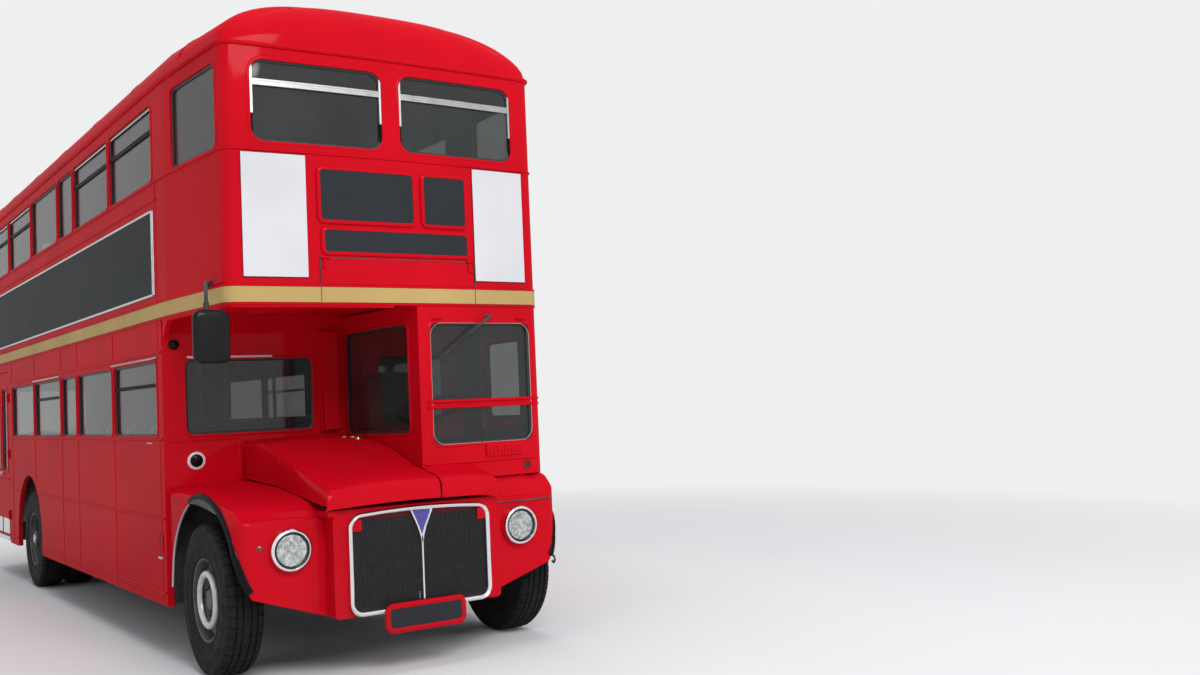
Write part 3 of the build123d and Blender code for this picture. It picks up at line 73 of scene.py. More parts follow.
# Materials
class Nodes:
    """One material's node tree, with short ways to add to it."""

    def __init__(self, name):
        self.mat = bpy.data.materials.new(name)
        self.mat.use_nodes = True
        self.tree = self.mat.node_tree
        self.shader = self.tree.nodes["Principled BSDF"]
        self.coords = self.add("ShaderNodeTexCoord").outputs["Object"]

    def add(self, kind, inputs=(), **values):
        node = self.tree.nodes.new(kind)
        for key, value in values.items():
            setattr(node, key, value)
        for key, value in dict(inputs).items():
            self.plug(node.inputs[key], value)
        return node

    def plug(self, socket, value):
        if hasattr(value, "is_linked"):
            self.tree.links.new(value, socket)
        else:
            socket.default_value = value

    def noise(self, scale, detail=4, rough=0.5, stretch=None):
        coords = self.coords
        if stretch:
            coords = self.add("ShaderNodeMapping", {"Scale": stretch, "Vector": coords}).outputs["Vector"]
        inputs = {"Scale": scale, "Detail": detail, "Roughness": rough, "Vector": coords}
        return self.add("ShaderNodeTexNoise", inputs).outputs["Fac"]

    def wave(self, scale, direction):
        inputs = {"Scale": scale, "Distortion": 0, "Vector": self.coords}
        return self.add("ShaderNodeTexWave", inputs, bands_direction=direction, wave_profile="SIN").outputs["Fac"]

    def cells(self, scale, feature):
        inputs = {"Scale": scale, "Vector": self.coords}
        return self.add("ShaderNodeTexVoronoi", inputs, feature=feature).outputs["Distance"]

    def math(self, operation, a, b=0, clamp=False):
        return self.add("ShaderNodeMath", {0: a, 1: b}, operation=operation, use_clamp=clamp).outputs[0]

    def ramp(self, fac, stops):
        node = self.add("ShaderNodeValToRGB")
        elements = node.color_ramp.elements
        while len(elements) < len(stops):
            elements.new(0.5)
        for element, (place, value) in zip(elements, stops):
            element.position = place
            element.color = (*value, 1) if isinstance(value, tuple) else (value, value, value, 1)
        self.plug(node.inputs["Fac"], fac)
        return node.outputs["Color"]

    def mix(self, fac, a, b):
        inputs = {"Factor": fac, "A": opaque(a), "B": opaque(b)}
        return self.add("ShaderNodeMix", inputs, data_type="RGBA").outputs["Result"]

    def axes(self):
        return self.add("ShaderNodeSeparateXYZ", {0: self.coords}).outputs

    def bump(self, height, distance):
        node = self.add("ShaderNodeBump", {"Distance": distance, "Strength": 1, "Height": height})
        self.plug(self.shader.inputs["Normal"], node.outputs["Normal"])

    def done(self, color, rough, **sockets):
        self.plug(self.shader.inputs["Base Color"], opaque(color))
        self.plug(self.shader.inputs["Roughness"], rough)
        for key, value in sockets.items():
            self.plug(self.shader.inputs[key.replace("_", " ")], value)
        return self.mat


def opaque(color):
    return color if hasattr(color, "is_linked") else (*color, 1)


def shades(n, color, spread, fac):
    """A colour that varies round its own value with a texture."""
    low = tuple(c * (1 - spread) for c in color)
    high = tuple(min(1, c * (1 + spread)) for c in color)
    return n.ramp(fac, ((0.3, low), (0.7, high)))


def paint(name, color, inside=None, low_dirt=0.35, gloss=0.16, wavy=0.0012):
    """Coach enamel: faint fading, dust towards the ground, orange peel, and a lining inside."""
    n = Nodes(name)
    tone = shades(n, color, 0.08, n.noise(1.3, 5))
    x, y, z = n.axes()
    low = n.math("SUBTRACT", 1, n.math("MULTIPLY", z, 0.9), clamp=True)
    streaks = n.ramp(n.noise(9, 6, 0.65, (1, 1, 0.25)), ((0.42, 0), (0.78, 1)))
    dirt = n.math("MULTIPLY", low, n.math("MULTIPLY", streaks, low_dirt), clamp=True)
    tone = n.mix(dirt, tone, (0.05, 0.035, 0.03))
    specks = n.ramp(n.noise(60, 3, 0.7), ((0.66, 0), (0.8, 0.35)))
    tone = n.mix(specks, tone, tuple(c * 0.6 + 0.02 for c in color))
    if inside:
        side_x = n.math("ABSOLUTE", x)
        dx = n.math("MAXIMUM", n.math("SUBTRACT", side_x, HALF - REAR_R), 0)
        dy = n.math("MAXIMUM", n.math("SUBTRACT", y, REAR_Y - REAR_R), 0)
        reach = n.math("SQRT", n.math("ADD", n.math("POWER", dx, 2), n.math("POWER", dy, 2)))
        narrow = n.math("MULTIPLY", n.math("SUBTRACT", TAPER_Y, y), (HALF - FRONT_HALF) / (TAPER_Y - FRONT_Y))
        reach = n.math("ADD", reach, n.math("MAXIMUM", narrow, 0))
        within = n.math("MULTIPLY", n.math("LESS_THAN", reach, REAR_R - 0.03), n.math("GREATER_THAN", y, inside[3]))
        if len(inside) > 4:
            within = n.math("MULTIPLY", within, n.math("GREATER_THAN", x, inside[4]))
        low_part = n.math("LESS_THAN", z, inside[2])
        lining = n.mix(low_part, inside[0], inside[1])
        tone = n.mix(within, tone, lining)
    rough = n.ramp(n.noise(5, 5, 0.6), ((0.3, gloss * 0.8), (0.75, gloss * 1.5)))
    n.bump(n.math("ADD", n.noise(3.2, 2), n.math("MULTIPLY", n.noise(240, 1), 0.03)), wavy)
    return n.done(tone, rough, Coat_Weight=0.12, Coat_Roughness=0.05, Specular_IOR_Level=0)


def metal(name, color, rough, grain=80, spread=0.06, metallic=1):
    n = Nodes(name)
    tone = shades(n, color, spread, n.noise(grain, 4, 0.6))
    haze = n.ramp(n.noise(14, 5, 0.6), ((0.3, rough * 0.7), (0.8, rough * 1.6)))
    n.bump(n.noise(grain * 3, 2), 0.0002)
    return n.done(tone, haze, Metallic=metallic)


def plain(name, color, rough, bump=0.0004, scale=60, dust=0, **sockets):
    """Moulded or painted matter with a grain, worn patches and some dust."""
    n = Nodes(name)
    tone = shades(n, color, 0.18, n.noise(7, 5, 0.6))
    if dust:
        cloud = n.ramp(n.noise(4, 6, 0.7), ((0.4, 0), (0.75, dust)))
        tone = n.mix(cloud, tone, (0.16, 0.14, 0.12))
    haze = n.ramp(n.noise(scale / 3, 4), ((0.3, rough * 0.8), (0.75, min(1, rough * 1.25))))
    n.bump(n.noise(scale, 4, 0.6), bump)
    return n.done(tone, haze, **sockets)


def glass(name, tint, alpha, rough=0.02):
    """A pane: tinted, partly see-through, with faint smears in its gloss."""
    n = Nodes(name)
    smear = n.ramp(n.noise(3, 6, 0.7), ((0.4, rough), (0.8, rough + 0.06)))
    film = n.ramp(n.noise(1.6, 5, 0.6), ((0.35, tint), (0.75, tuple(min(1, c * 1.7 + 0.01) for c in tint))))
    n.bump(n.noise(1.5, 1), 0.0008)
    n.mat.blend_method = "BLEND"
    return n.done(film, smear, Alpha=alpha, IOR=1.5, Specular_IOR_Level=0.7)


def moquette(name):
    """Woven check cloth: crossing stripes of three plain colours over a fine rib."""
    n = Nodes(name)
    across = n.ramp(n.wave(9, "X"), ((0.55, 0), (0.62, 1)))
    along = n.ramp(n.wave(9, "Z"), ((0.55, 0), (0.62, 1)))
    base = n.mix(across, (0.16, 0.025, 0.022), (0.03, 0.045, 0.03))
    base = n.mix(n.math("MULTIPLY", along, 0.5), base, (0.32, 0.22, 0.07))
    weave = n.math("MULTIPLY", n.wave(260, "X"), n.wave(260, "Z"))
    tone = n.mix(n.ramp(weave, ((0.2, 0), (0.8, 0.35))), base, (0.02, 0.012, 0.01))
    n.bump(weave, 0.0006)
    return n.done(tone, n.ramp(n.noise(30, 4), ((0.3, 0.82), (0.7, 0.95))), Sheen_Weight=0.3)


def hide(name, color):
    n = Nodes(name)
    n.bump(n.ramp(n.cells(220, "DISTANCE_TO_EDGE"), ((0, 0), (0.12, 1))), 0.0005)
    return n.done(shades(n, color, 0.25, n.noise(6, 5)), n.ramp(n.noise(20, 4), ((0.3, 0.38), (0.8, 0.6))))


def tread_rubber(name):
    n = Nodes(name)
    tone = shades(n, (0.014, 0.0135, 0.0135), 0.25, n.noise(9, 6, 0.7))
    tone = n.mix(n.ramp(n.noise(5, 6, 0.7), ((0.45, 0), (0.8, 0.16))), tone, (0.09, 0.08, 0.07))
    n.bump(n.noise(180, 4, 0.7), 0.0006)
    return n.done(tone, n.ramp(n.noise(24, 4), ((0.3, 0.62), (0.7, 0.85))), Specular_IOR_Level=0.08)


def painted_glint_reflector(name):
    """Bright metal pressed into small cells that catch the light unevenly, with painted glints: dark and bright
    patches in its colour stand in for reflections.
    """
    n = Nodes(name)
    n.bump(n.cells(46, "F1"), 0.006)
    # Painted reflections: the metal's colour runs from dark to bright in patches that stand in for glints.
    tone = n.ramp(n.noise(34, 4, 0.7), ((0.36, 0.1), (0.46, 0.42), (0.6, 0.86)))
    return n.done(tone, n.ramp(n.noise(20, 3), ((0.3, 0.12), (0.7, 0.24))), Metallic=1)


RED = (0.56, 0.003, 0.012)
M = {
    "red": paint("coach_red", RED, ((0.3, 0.36, 0.27), (0.2, 0.02, 0.02), 1.55, BULKHEAD_Y + 0.03)),
    "upper_red": paint("coach_red_upper", RED, ((0.3, 0.36, 0.27), (0.2, 0.02, 0.02), 3.38, FRONT_Y + 0.025), 0),
    "cab_red": paint("coach_red_cab", RED, ((0.1, 0.12, 0.1), (0.05, 0.05, 0.05), 1.55, FRONT_Y + 0.025, 0.17)),
    "clean_red": paint("panel_red", RED),
    "roof": paint("roof_red", RED, None, 0, 0.2),
    "gold": paint("cream_gold", (0.5, 0.345, 0.135), None, 0, 0.2, 0.0006),
    "white": paint("white_board", (0.68, 0.68, 0.7), None, 0, 0.3, 0.0003),
    "grey": paint("grey_board", (0.03, 0.034, 0.037), None, 0, 0.28, 0.001),
    "display": paint("display_grey", (0.03, 0.033, 0.038), None, 0, 0.35, 0.0003),
    "chassis": plain("chassis_black", (0.016, 0.015, 0.015), 0.6, dust=0.5),
    "gloss_black": plain("gloss_black", (0.006, 0.006, 0.007), 0.25, 0.0002, 30, Coat_Weight=0.2,
                         Specular_IOR_Level=0),
    "rubber": plain("seal_rubber", (0.012, 0.012, 0.012), 0.55),
    "plastic": plain("moulded_black", (0.008, 0.008, 0.009), 0.34, 0.0005, 150, Coat_Weight=0.15,
                     Specular_IOR_Level=0.1),
    "wheel": plain("wheel_enamel", (0.03, 0.028, 0.028), 0.45, dust=0.45),
    "tyre": tread_rubber("tyre_rubber"),
    "chrome": metal("bright_chrome", (0.8, 0.8, 0.82), 0.1),
    "reflector": painted_glint_reflector("lamp_reflector_painted_glints"),
    "alloy": metal("bare_alloy", (0.62, 0.63, 0.64), 0.32, 120, 0.12),
    "satin": metal("satin_trim", (0.5, 0.5, 0.5), 0.34, 60, 0.08),
    "silver": plain("wheel_silver", (0.55, 0.55, 0.56), 0.32, 0.0002, 90, dust=0.25, Metallic=0.4),
    "brass": metal("worn_brass", (0.7, 0.48, 0.14), 0.3),
    "iron": plain("engine_iron", (0.06, 0.075, 0.07), 0.6, dust=0.5),
    "glass": glass("window_glass", (0.018, 0.024, 0.024), 0.5),
    "screen": glass("screen_glass", (0.02, 0.026, 0.026), 0.38),
    "lens": glass("lamp_lens", (0.55, 0.58, 0.58), 0.14, 0.02),
    "amber": plain("amber_lens", (0.8, 0.22, 0.01), 0.18, 0.0003, 90, Coat_Weight=0.5),
    "red_lens": plain("red_lens", (0.2, 0.003, 0.003), 0.12, 0.0003, 90, Coat_Weight=0.5),
    "pearl": plain("white_lens", (0.7, 0.7, 0.66), 0.2, 0.0003, 90, Coat_Weight=0.5),
    "cloth": moquette("check_moquette"),
    "hide": hide("driver_hide", (0.035, 0.022, 0.016)),
    "floor": plain("worn_floor", (0.13, 0.11, 0.09), 0.7, 0.0015, 40, dust=0.4),
    "cream": plain("cream_enamel", (0.62, 0.55, 0.36), 0.35, 0.0002, 30),
    "core": plain("radiator_core", (0.012, 0.012, 0.012), 0.7, 0.001, 300),
    "violet": plain("violet_enamel", (0.075, 0.055, 0.3), 0.25, 0.0002, 60),
    "mesh": metal("mesh_black", (0.022, 0.022, 0.024), 0.5, 200, 0.2, 0.3),
}
NODE_LOOKS = {
    "red": "front_bulkhead lower_side_right lower_side_left lower_rear mid_floor", "cab_red": "cab_shell",
    "upper_red": "upper_front upper_side_right upper_side_left upper_rear",
    "clean_red": "entrance_leaf_front entrance_leaf_rear cab_door front_panel",
    "roof": "roof", "gold": "waist_band", "display": "display_panels", "grey": "advert_boards",
    "chassis": "underframe propshaft fuel_tank front_axle rear_axle knuckle_right knuckle_left",
    "iron": "engine_block", "floor": "lower_floor staircase", "cream": "grab_poles",
    "wheel": "front_wheel_right front_wheel_left rear_wheels_right rear_wheels_left",
    "glass": "lower_glass upper_glass front_glass cab_door_glass entrance_glass_front entrance_glass_rear",
    "screen": "cab_glass", "gloss_black": "steering_wheel",
}
for look, names in NODE_LOOKS.items():
    for node_name in names.split():
        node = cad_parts[node_name]
        node.data.materials.clear()
        node.data.materials.append(M[look])


# The body's surface
def front_y(x):
    return FRONT_Y - BOW + ARC_R - math.sqrt(ARC_R**2 - x * x)


def arc_between(corner, to_a, to_b, radius, steps):
    """Points and normals of a fillet at a corner, from one leg to the other."""
    half = to_a.angle(to_b) / 2
    centre = corner + (to_a + to_b).normalized() * (radius / math.sin(half))
    start = corner + to_a * (radius / math.tan(half)) - centre
    end = corner + to_b * (radius / math.tan(half)) - centre
    rays = [start.normalized().slerp(end.normalized(), k / steps) for k in range(steps + 1)]
    return [(*(centre + ray * radius), *ray) for ray in rays]


def plan_outline():
    """The body's plan on the left-hand side, from the middle of the front to that of the back."""
    corner = V(FRONT_HALF, FRONT_Y)
    slope = math.asin(FRONT_HALF / ARC_R)
    back_along = V(HALF - FRONT_HALF, TAPER_Y - FRONT_Y).normalized()
    fillet = arc_between(corner, V(-math.cos(slope), -math.sin(slope)), back_along, FRONT_R, 8)
    points = [(x, front_y(x), x / ARC_R, -math.sqrt(1 - (x / ARC_R) ** 2))
              for x in (k * fillet[0][0] / 12 for k in range(12))]
    points += fillet
    normal = (back_along.y, -back_along.x)
    points += [(HALF - 0.0001, TAPER_Y - 0.002, *normal), (HALF, TAPER_Y + 0.002, 1, 0),
               (HALF, REAR_Y - REAR_R, 1, 0)]
    points += arc_between(V(HALF, REAR_Y), V(0, -1), V(-1, 0), REAR_R, 12)[1:]
    points.append((0, REAR_Y, 0, 1))
    return points


OUTLINE = plan_outline()
RUN = [0]
for before, after in zip(OUTLINE, OUTLINE[1:]):
    RUN.append(RUN[-1] + math.dist(before[:2], after[:2]))
RUN_END = RUN[-1]


def wall(s):
    """Point and outward normal of the wall at run s: 0 is the middle of the front, minus is the right side."""
    side = -1 if s < 0 else 1
    run = min(abs(s), RUN_END)
    k = min(max(bisect.bisect_right(RUN, run) - 1, 0), len(RUN) - 2)
    share = (run - RUN[k]) / max(RUN[k + 1] - RUN[k], 1e-9)
    x, y, nx, ny = (a + (b - a) * share for a, b in zip(OUTLINE[k], OUTLINE[k + 1]))
    length = math.hypot(nx, ny)
    return V(side * x, y, 0), V(side * nx / length, ny / length, 0)


def run_at(y):
    """The run on the side wall at y."""
    for k in range(12, len(OUTLINE) - 1):
        y0, y1 = OUTLINE[k][1], OUTLINE[k + 1][1]
        if y0 <= y <= y1:
            return RUN[k] + (y - y0) / max(y1 - y0, 1e-9) * (RUN[k + 1] - RUN[k])
    return RUN_END


def on_wall(s, z, off=0):
    point, normal = wall(s)
    return point + normal * off + Z * z


def frames_along(s0, s1, z):
    """Frames along the wall between two runs at one level: place, outward, up."""
    stops = [r * sign for r in RUN for sign in (-1, 1) if s0 < r * sign < s1]
    return [(on_wall(s, z), wall(s)[1], Z) for s in sorted({s0, s1, *stops})]


# Mesh building
CUBE = [(0, 1, 3, 2), (4, 6, 7, 5), (0, 4, 5, 1), (2, 3, 7, 6), (0, 2, 6, 4), (1, 5, 7, 3)]


def spaced(a, b, count):
    return [a + (b - a) * k / count for k in range(count + 1)]


def clamp(value):
    return min(1, max(0, value))


def eased(share):
    return share * share * (3 - 2 * share)


def between(table, at):
    """The value at a place in a table of (place, value), the places rising or falling."""
    rows = sorted(table)
    if at <= rows[0][0]:
        return rows[0][1]
    for (a, va), (b, vb) in zip(rows, rows[1:]):
        if at <= b:
            return va + (vb - va) * (at - a) / (b - a)
    return rows[-1][1]


def oblong(a0, a1, b0, b1):
    return [(a0, b0), (a0, b1), (a1, b1), (a1, b0)]


def turns(count, start=0):
    return [2 * math.pi * (k + start) / count for k in range(count)]


def quads(rows, width, round_rows=True, round_width=True):
    """The faces of a grid of points, joined up where it goes all round."""
    return [(i * width + k, i * width + (k + 1) % width,
             (i + 1) % rows * width + (k + 1) % width, (i + 1) % rows * width + k)
            for i in range(rows if round_rows else rows - 1) for k in range(width if round_width else width - 1)]


class Build:
    """Collects the faces of one piece."""

    def __init__(self):
        self.verts = []
        self.faces = []

    def add(self, verts, faces):
        base = len(self.verts)
        self.verts += [Vector(v) for v in verts]
        self.faces += [tuple(base + i for i in face) for face in faces]

    def sweep(self, frames, profile, closed=False):
        """Carries a closed profile of (a, b) along frames of (place, a axis, b axis)."""
        n, rows = len(profile), len(frames)
        ends = [] if closed else [tuple(range(n)), tuple(range((rows - 1) * n, rows * n))]
        self.add([p + a * u + b * v for p, a, b in frames for u, v in profile], quads(rows, n, closed) + ends)

    def run(self, points, a, b, profile):
        """The same along points that share their two axes."""
        self.sweep([(Vector(p), a, b) for p in points], profile)

    def tube(self, points, radius, sides=10):
        """A round bar through points, its section kept from twisting."""
        points = [Vector(p) for p in points]
        last = len(points) - 1
        tangents = [(points[min(i + 1, last)] - points[max(i - 1, 0)]).normalized() for i in range(last + 1)]
        across = tangents[0].orthogonal().normalized()
        frames = []
        for point, tangent in zip(points, tangents):
            across = (across - tangent * across.dot(tangent)).normalized()
            frames.append((point, across, tangent.cross(across)))
        self.sweep(frames, [(radius * math.cos(t), radius * math.sin(t)) for t in turns(sides)])

    def lathe(self, centre, axis, profile, segments=48):
        """Turns (along, radius) points about an axis through centre; the last at radius 0 closes a solid."""
        across = axis.orthogonal().normalized()
        up = axis.cross(across)
        hollow, n = profile[-1][1] > 0, len(profile)
        rays = [across * math.cos(t) + up * math.sin(t) for t in turns(segments)]
        ends = [] if hollow else [tuple(i * n + k for i in range(segments)) for k in (0, n - 1)]
        self.add([Vector(centre) + axis * along + ray * radius for ray in rays for along, radius in profile],
                 quads(segments, n, True, hollow) + ends)

    def box(self, low, high):
        self.add([(x, y, z) for x in (low[0], high[0]) for y in (low[1], high[1]) for z in (low[2], high[2])], CUBE)

    def block(self, place, sizes, axes=(X, Y, Z)):
        """A box on its own axes, about its middle."""
        a, b, c = (axis * size / 2 for axis, size in zip(axes, sizes))
        self.add([Vector(place) + a * i + b * j + c * k for i in (-1, 1) for j in (-1, 1) for k in (-1, 1)], CUBE)

    def dome(self, place, normal, radius, height, sides=7):
        across = normal.orthogonal().normalized()
        up = normal.cross(across)
        verts = [Vector(place) + (across * math.cos(t) + up * math.sin(t)) * radius * r + normal * height * h
                 for r, h in ((1, -0.2), (0.72, 0.7)) for t in turns(sides)]
        tip = [(sides + k, sides + (k + 1) % sides, 2 * sides) for k in range(sides)]
        self.add(verts + [Vector(place) + normal * height],
                 quads(2, sides, False) + tip + [tuple(range(sides - 1, -1, -1))])

    def extrude(self, outline, axes, origin, depth):
        """A flat outline of (u, v) on two axes, thickened along the third."""
        u, v, w = axes
        n = len(outline)
        faces = [tuple(range(n)), tuple(range(2 * n - 1, n - 1, -1))]
        faces += [(k, n + k, n + (k + 1) % n, (k + 1) % n) for k in range(n)]
        self.add([Vector(origin) + u * a + v * b + w * d for d in depth for a, b in outline], faces)

    def make(self, name, look, body="root", bevel=0, steps=2, smooth=40, replaces=None, slot=None, angle=35):
        """The object of these faces: material, softened edges and body; slot is not used."""
        mesh = bpy.data.meshes.new(name)
        mesh.from_pydata(self.verts, [], self.faces)
        b = bmesh.new()
        b.from_mesh(mesh)
        bmesh.ops.recalc_face_normals(b, faces=b.faces)
        b.to_mesh(mesh)
        b.free()
        piece = new_object(name, mesh)
        mesh.materials.append(M[look])
        mesh.shade_smooth()
        if bevel:
            mod = piece.modifiers.new("soft_edges", "BEVEL")
            mod.width, mod.segments, mod.limit_method = bevel, steps, "ANGLE"
            mod.angle_limit = math.radians(angle)
            mod.harden_normals = False
        mesh.set_sharp_from_angle(angle=math.radians(smooth))
        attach(piece, body)
        if replaces:
            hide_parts(replaces)
        return piece


def rounded(u0, u1, v0, v1, radius, steps=7):
    """A rounded rectangle as (u, v, outward u, outward v), anticlockwise."""
    out = []
    for cu, cv, start in ((u1 - radius, v0 + radius, -90), (u1 - radius, v1 - radius, 0),
                          (u0 + radius, v1 - radius, 90), (u0 + radius, v0 + radius, 180)):
        for t in spaced(math.radians(start), math.radians(start + 90), steps):
            out.append((cu + radius * math.cos(t), cv + radius * math.sin(t), math.cos(t), math.sin(t)))
    return out


def rounded_outline(*args):
    return [p[:2] for p in rounded(*args)]


def wall_ring(span, levels, radius):
    """Frames round a window in the body's wall: place, outward in the wall, away from the wall."""
    out = []
    ring = rounded(*sorted(span), *levels, radius)
    for a, b in zip(ring, ring[1:] + ring[:1]):
        parts = max(1, round(math.dist(a[:2], b[:2]) / 0.3))
        for k in range(parts):
            s, z, au, av = (p + (q - p) * k / parts for p, q in zip(a, b))
            point, normal = wall(s)
            out.append((point + Z * z, Z.cross(normal).normalized() * au + Z * av, normal))
    return out


def flat_ring(origin, axes, u, v, radius, off=0, steps=7):
    """The same on a flat plane with axes across, up and outward."""
    across, up, outward = axes
    return [(Vector(origin) + across * a + up * b + outward * off, across * p + up * q, outward)
            for a, b, p, q in rounded(*u, *v, radius, steps)]


def side_runs(side, spans):
    return [tuple(side * run_at(y) for y in span) for span in spans]


def upright_frames(s, levels):
    """Frames up the wall at one run: place, along, outward."""
    point, normal = wall(s)
    return [(point + Z * z, Z.cross(normal), normal) for z in levels]


WALL_WINDOWS = [(run, LOWER_Z, 0.055) for side in (-1, 1) for run in side_runs(side, BAYS)]
WALL_WINDOWS += [(run, UPPER_Z, 0.055) for side in (-1, 1) for run in side_runs(side, (QUARTER, *BAYS, REAR_BAY))]
WALL_WINDOWS += [(pane, FRONT_Z, 0.09) for pane in FRONT_PANES]
WALL_WINDOWS.append((SCREEN_X, SCREEN_Z, 0.055))
BACK_AXES = (-X, Z, Y)
FRONT_AXES = (X, Z, -Y)
SIDE_AXES = (-Y, Z, -X)
LEVEL_AXES = (X, -Y, Z)
BACK_WINDOWS = [((0.12, 0.93), LOWER_Z), ((-0.62, 0.62), UPPER_Z)]
BULKHEAD_WINDOWS = [((-1.06, -0.11), LOWER_Z), ((0.42, 1), LOWER_Z)]

# Rubber glazing strip on each pane, and a raised pan round each opening
seal = [(0.001, -0.021), (-0.014, -0.021), (-0.016, -0.014), (-0.006, -0.008), (0.001, -0.008)]
pan = [(-0.001, -0.012), (-0.001, 0.004), (0.004, 0.006), (0.016, 0.005), (0.022, 0.0005), (0.018, -0.004)]
seals, pans = Build(), Build()
rings = [(wall_ring(*window), 1, 0) for window in WALL_WINDOWS]
rings += [(flat_ring((0, REAR_Y, 0), BACK_AXES, u, levels, 0.055), 1, 0) for u, levels in BACK_WINDOWS]
rings += [(flat_ring((0, BULKHEAD_Y, 0), FRONT_AXES, u, levels, 0.055), 1, 0.004) for u, levels in BULKHEAD_WINDOWS]
rings.append((flat_ring((0.15, 0, 0), SIDE_AXES, (3.03, 4.095), (1.515, 2.28), 0.055), 1.6, 0.006))
for ring, wide, off in rings:
    seals.sweep(ring, [(a * wide, b + off) for a, b in seal], True)
    pans.sweep(ring, pan, True)
seals.make("window_seals", "rubber")
pans.make("window_pans", "clean_red")

# Mouldings round the body
half_round = [(-0.002, -0.009), (0.005, -0.008), (0.009, -0.004), (0.0105, 0), (0.009, 0.004), (0.005, 0.008),
              (-0.002, 0.009)]
gutter = [(-0.002, -0.016), (0.014, -0.012), (0.02, -0.004), (0.021, 0.006), (0.016, 0.013), (-0.002, 0.016)]
mouldings = Build()
mouldings.sweep(frames_along(-RUN_END, RUN_END, 4.078), gutter)
for z in (3.392, BAND_TOP + 0.008, BAND_Z - 0.012):
    mouldings.sweep(frames_along(-RUN_END, RUN_END, z), half_round)
ENTRY = (ENTRANCE - 0.04, ENTRANCE_END + 0.02)
for side in (-1, 1):
    rows = [(2.165, BULKHEAD_Y + 0.03, 4.25), (1.548, BULKHEAD_Y + 0.03, 4.25), (3.262, -2.93, 4.25)]
    for z in (0.99, 0.47):
        reach = math.sqrt(ARCH_R**2 - min(max(z - AXLE_Z, 0), ARCH_R) ** 2) + 0.01
        rows += [(z, BULKHEAD_Y + 0.03, REAR_AXLE - reach), (z, REAR_AXLE + reach, 4.25)]
    for z, y0, y1 in rows:
        if side < 0 and z < 2.2:
            y1 = min(y1, ENTRY[0])
        mouldings.sweep(frames_along(*sorted((side * run_at(y0), side * run_at(y1))), z), half_round)
for z in (2.165, 1.548, 0.99, 0.47):
    mouldings.sweep(frames_along(run_at(4.29), RUN_END, z), half_round)
    mouldings.sweep(frames_along(-RUN_END, -run_at(4.29), z), half_round)
mouldings.make("body_mouldings", "clean_red")

# Upright cover strips over the panel joints, with rivets each side
strip = [(-0.014, 0), (-0.01, 0.0035), (0.01, 0.0035), (0.014, 0), (0.01, -0.002), (-0.01, -0.002)]
joints, rivets = Build(), Build()


def rivet(place, normal):
    rivets.dome(place, normal, 0.0038, 0.0018)


def upright(s, z0, z1):
    frames = upright_frames(s, (z0, z1))
    joints.sweep(frames, strip)
    foot, along, normal = frames[0]
    for k in range(int((z1 - z0) / 0.085)):
        for way in (-0.022, 0.022):
            rivet(foot + Z * (k + 0.5) * 0.085 + along * way, normal)


def rivet_row(s0, s1, z, spacing=0.07):
    count = max(2, round(abs(s1 - s0) / spacing))
    for k in range(count):
        s = s0 + (s1 - s0) * (k + 0.5) / count
        rivet(on_wall(s, z), wall(s)[1])


for side in (-1, 1):
    for y in PILLARS + (3.6, 3.9):
        if side < 0 and ENTRY[0] < y < ENTRY[1]:
            continue
        levels = [(0.4, 0.46), (0.48, 0.98), (1, 1.54)]
        if abs(y - REAR_AXLE) < ARCH_R + 0.03:
            top = AXLE_Z + math.sqrt((ARCH_R + 0.03) ** 2 - (y - REAR_AXLE) ** 2)
            levels = [(max(a, top), b) for a, b in levels if b > top + 0.02]
        for z0, z1 in levels + [(2.18, 2.385)]:
            upright(side * run_at(y), z0, z1)
    for y in (-2.9, 4.2):
        upright(side * run_at(y), 2.53, 3.38)
    end = ENTRY[0] if side < 0 else 4.2
    for y0, y1, z in ((-4.13, 4.2, 4.05), (-2.9, end, 1.012), (-2.9, end, 2.19), (-4.1, 4.2, 3.372)):
        rivet_row(side * run_at(y0), side * run_at(y1), z)
for s0, s1, z, spacing in ((-1.12, 1.12, 4.05, 0.05), (-1.12, 1.12, 3.418, 0.06), (-1.12, 1.12, 3.368, 0.06),
                           (-0.6, 0.64, 3.335, 0.06)):
    rivet_row(s0, s1, z, spacing)
for s in (-0.585, 0.625):
    for k in range(12):
        rivet(on_wall(s, 2.56 + k * 0.065), wall(s)[1])
joints.make("panel_joints", "clean_red")

# Front panels and boards
rims, flap, gaps, hinges = Build(), Build(), Build(), Build()
rim = [(-0.012, 0.01), (-0.01, 0.018), (0.004, 0.019), (0.012, 0.014), (0.016, 0.001), (0, -0.002)]
for x0, x1, z0, z1 in ((-0.535, 0.15, 2.945, 3.3), (0.215, 0.555, 2.945, 3.3), (-0.515, 0.565, 2.735, 2.9)):
    rims.sweep(wall_ring((x0, x1), (z0, z1), 0.035), rim, True)
FLAP_S, FLAP_Z = (-0.53, 0.605), (2.53, 2.7)
stops = spaced(*FLAP_S, 8)
for pair in zip(stops, stops[1:]):
    flap.sweep([(on_wall(s, FLAP_Z[0]), wall(s)[1], Z) for s in pair],
               [(-0.002, 0), (0.004, 0.001), (0.004, 0.169), (-0.002, 0.17)])
for s in (-0.536, 0.611):
    gaps.sweep(upright_frames(s, (2.405, 2.715)), oblong(-0.0025, 0.0025, -0.001, 0.0088))
gaps.sweep(frames_along(*FLAP_S, FLAP_Z[1] + 0.004),
           [(-0.001, -0.003), (0.0015, -0.003), (0.0015, 0.003), (-0.001, 0.003)])
for s in (-0.505, 0.575):
    point, along, normal = upright_frames(s, (2.672,))[0]
    hinges.block(point + normal * 0.009, (0.026, 0.008, 0.085), (along, normal, Z))
    hinges.tube([point + normal * 0.016 + Z * 0.033 + along * w for w in (-0.03, 0.03)], 0.008)
rims.make("display_rims", "clean_red")
flap.make("display_flap", "clean_red")
gaps.make("flap_joints", "chassis")
hinges.make("flap_hinges", "clean_red", bevel=0.002)
rivets.make("rivets", "clean_red")

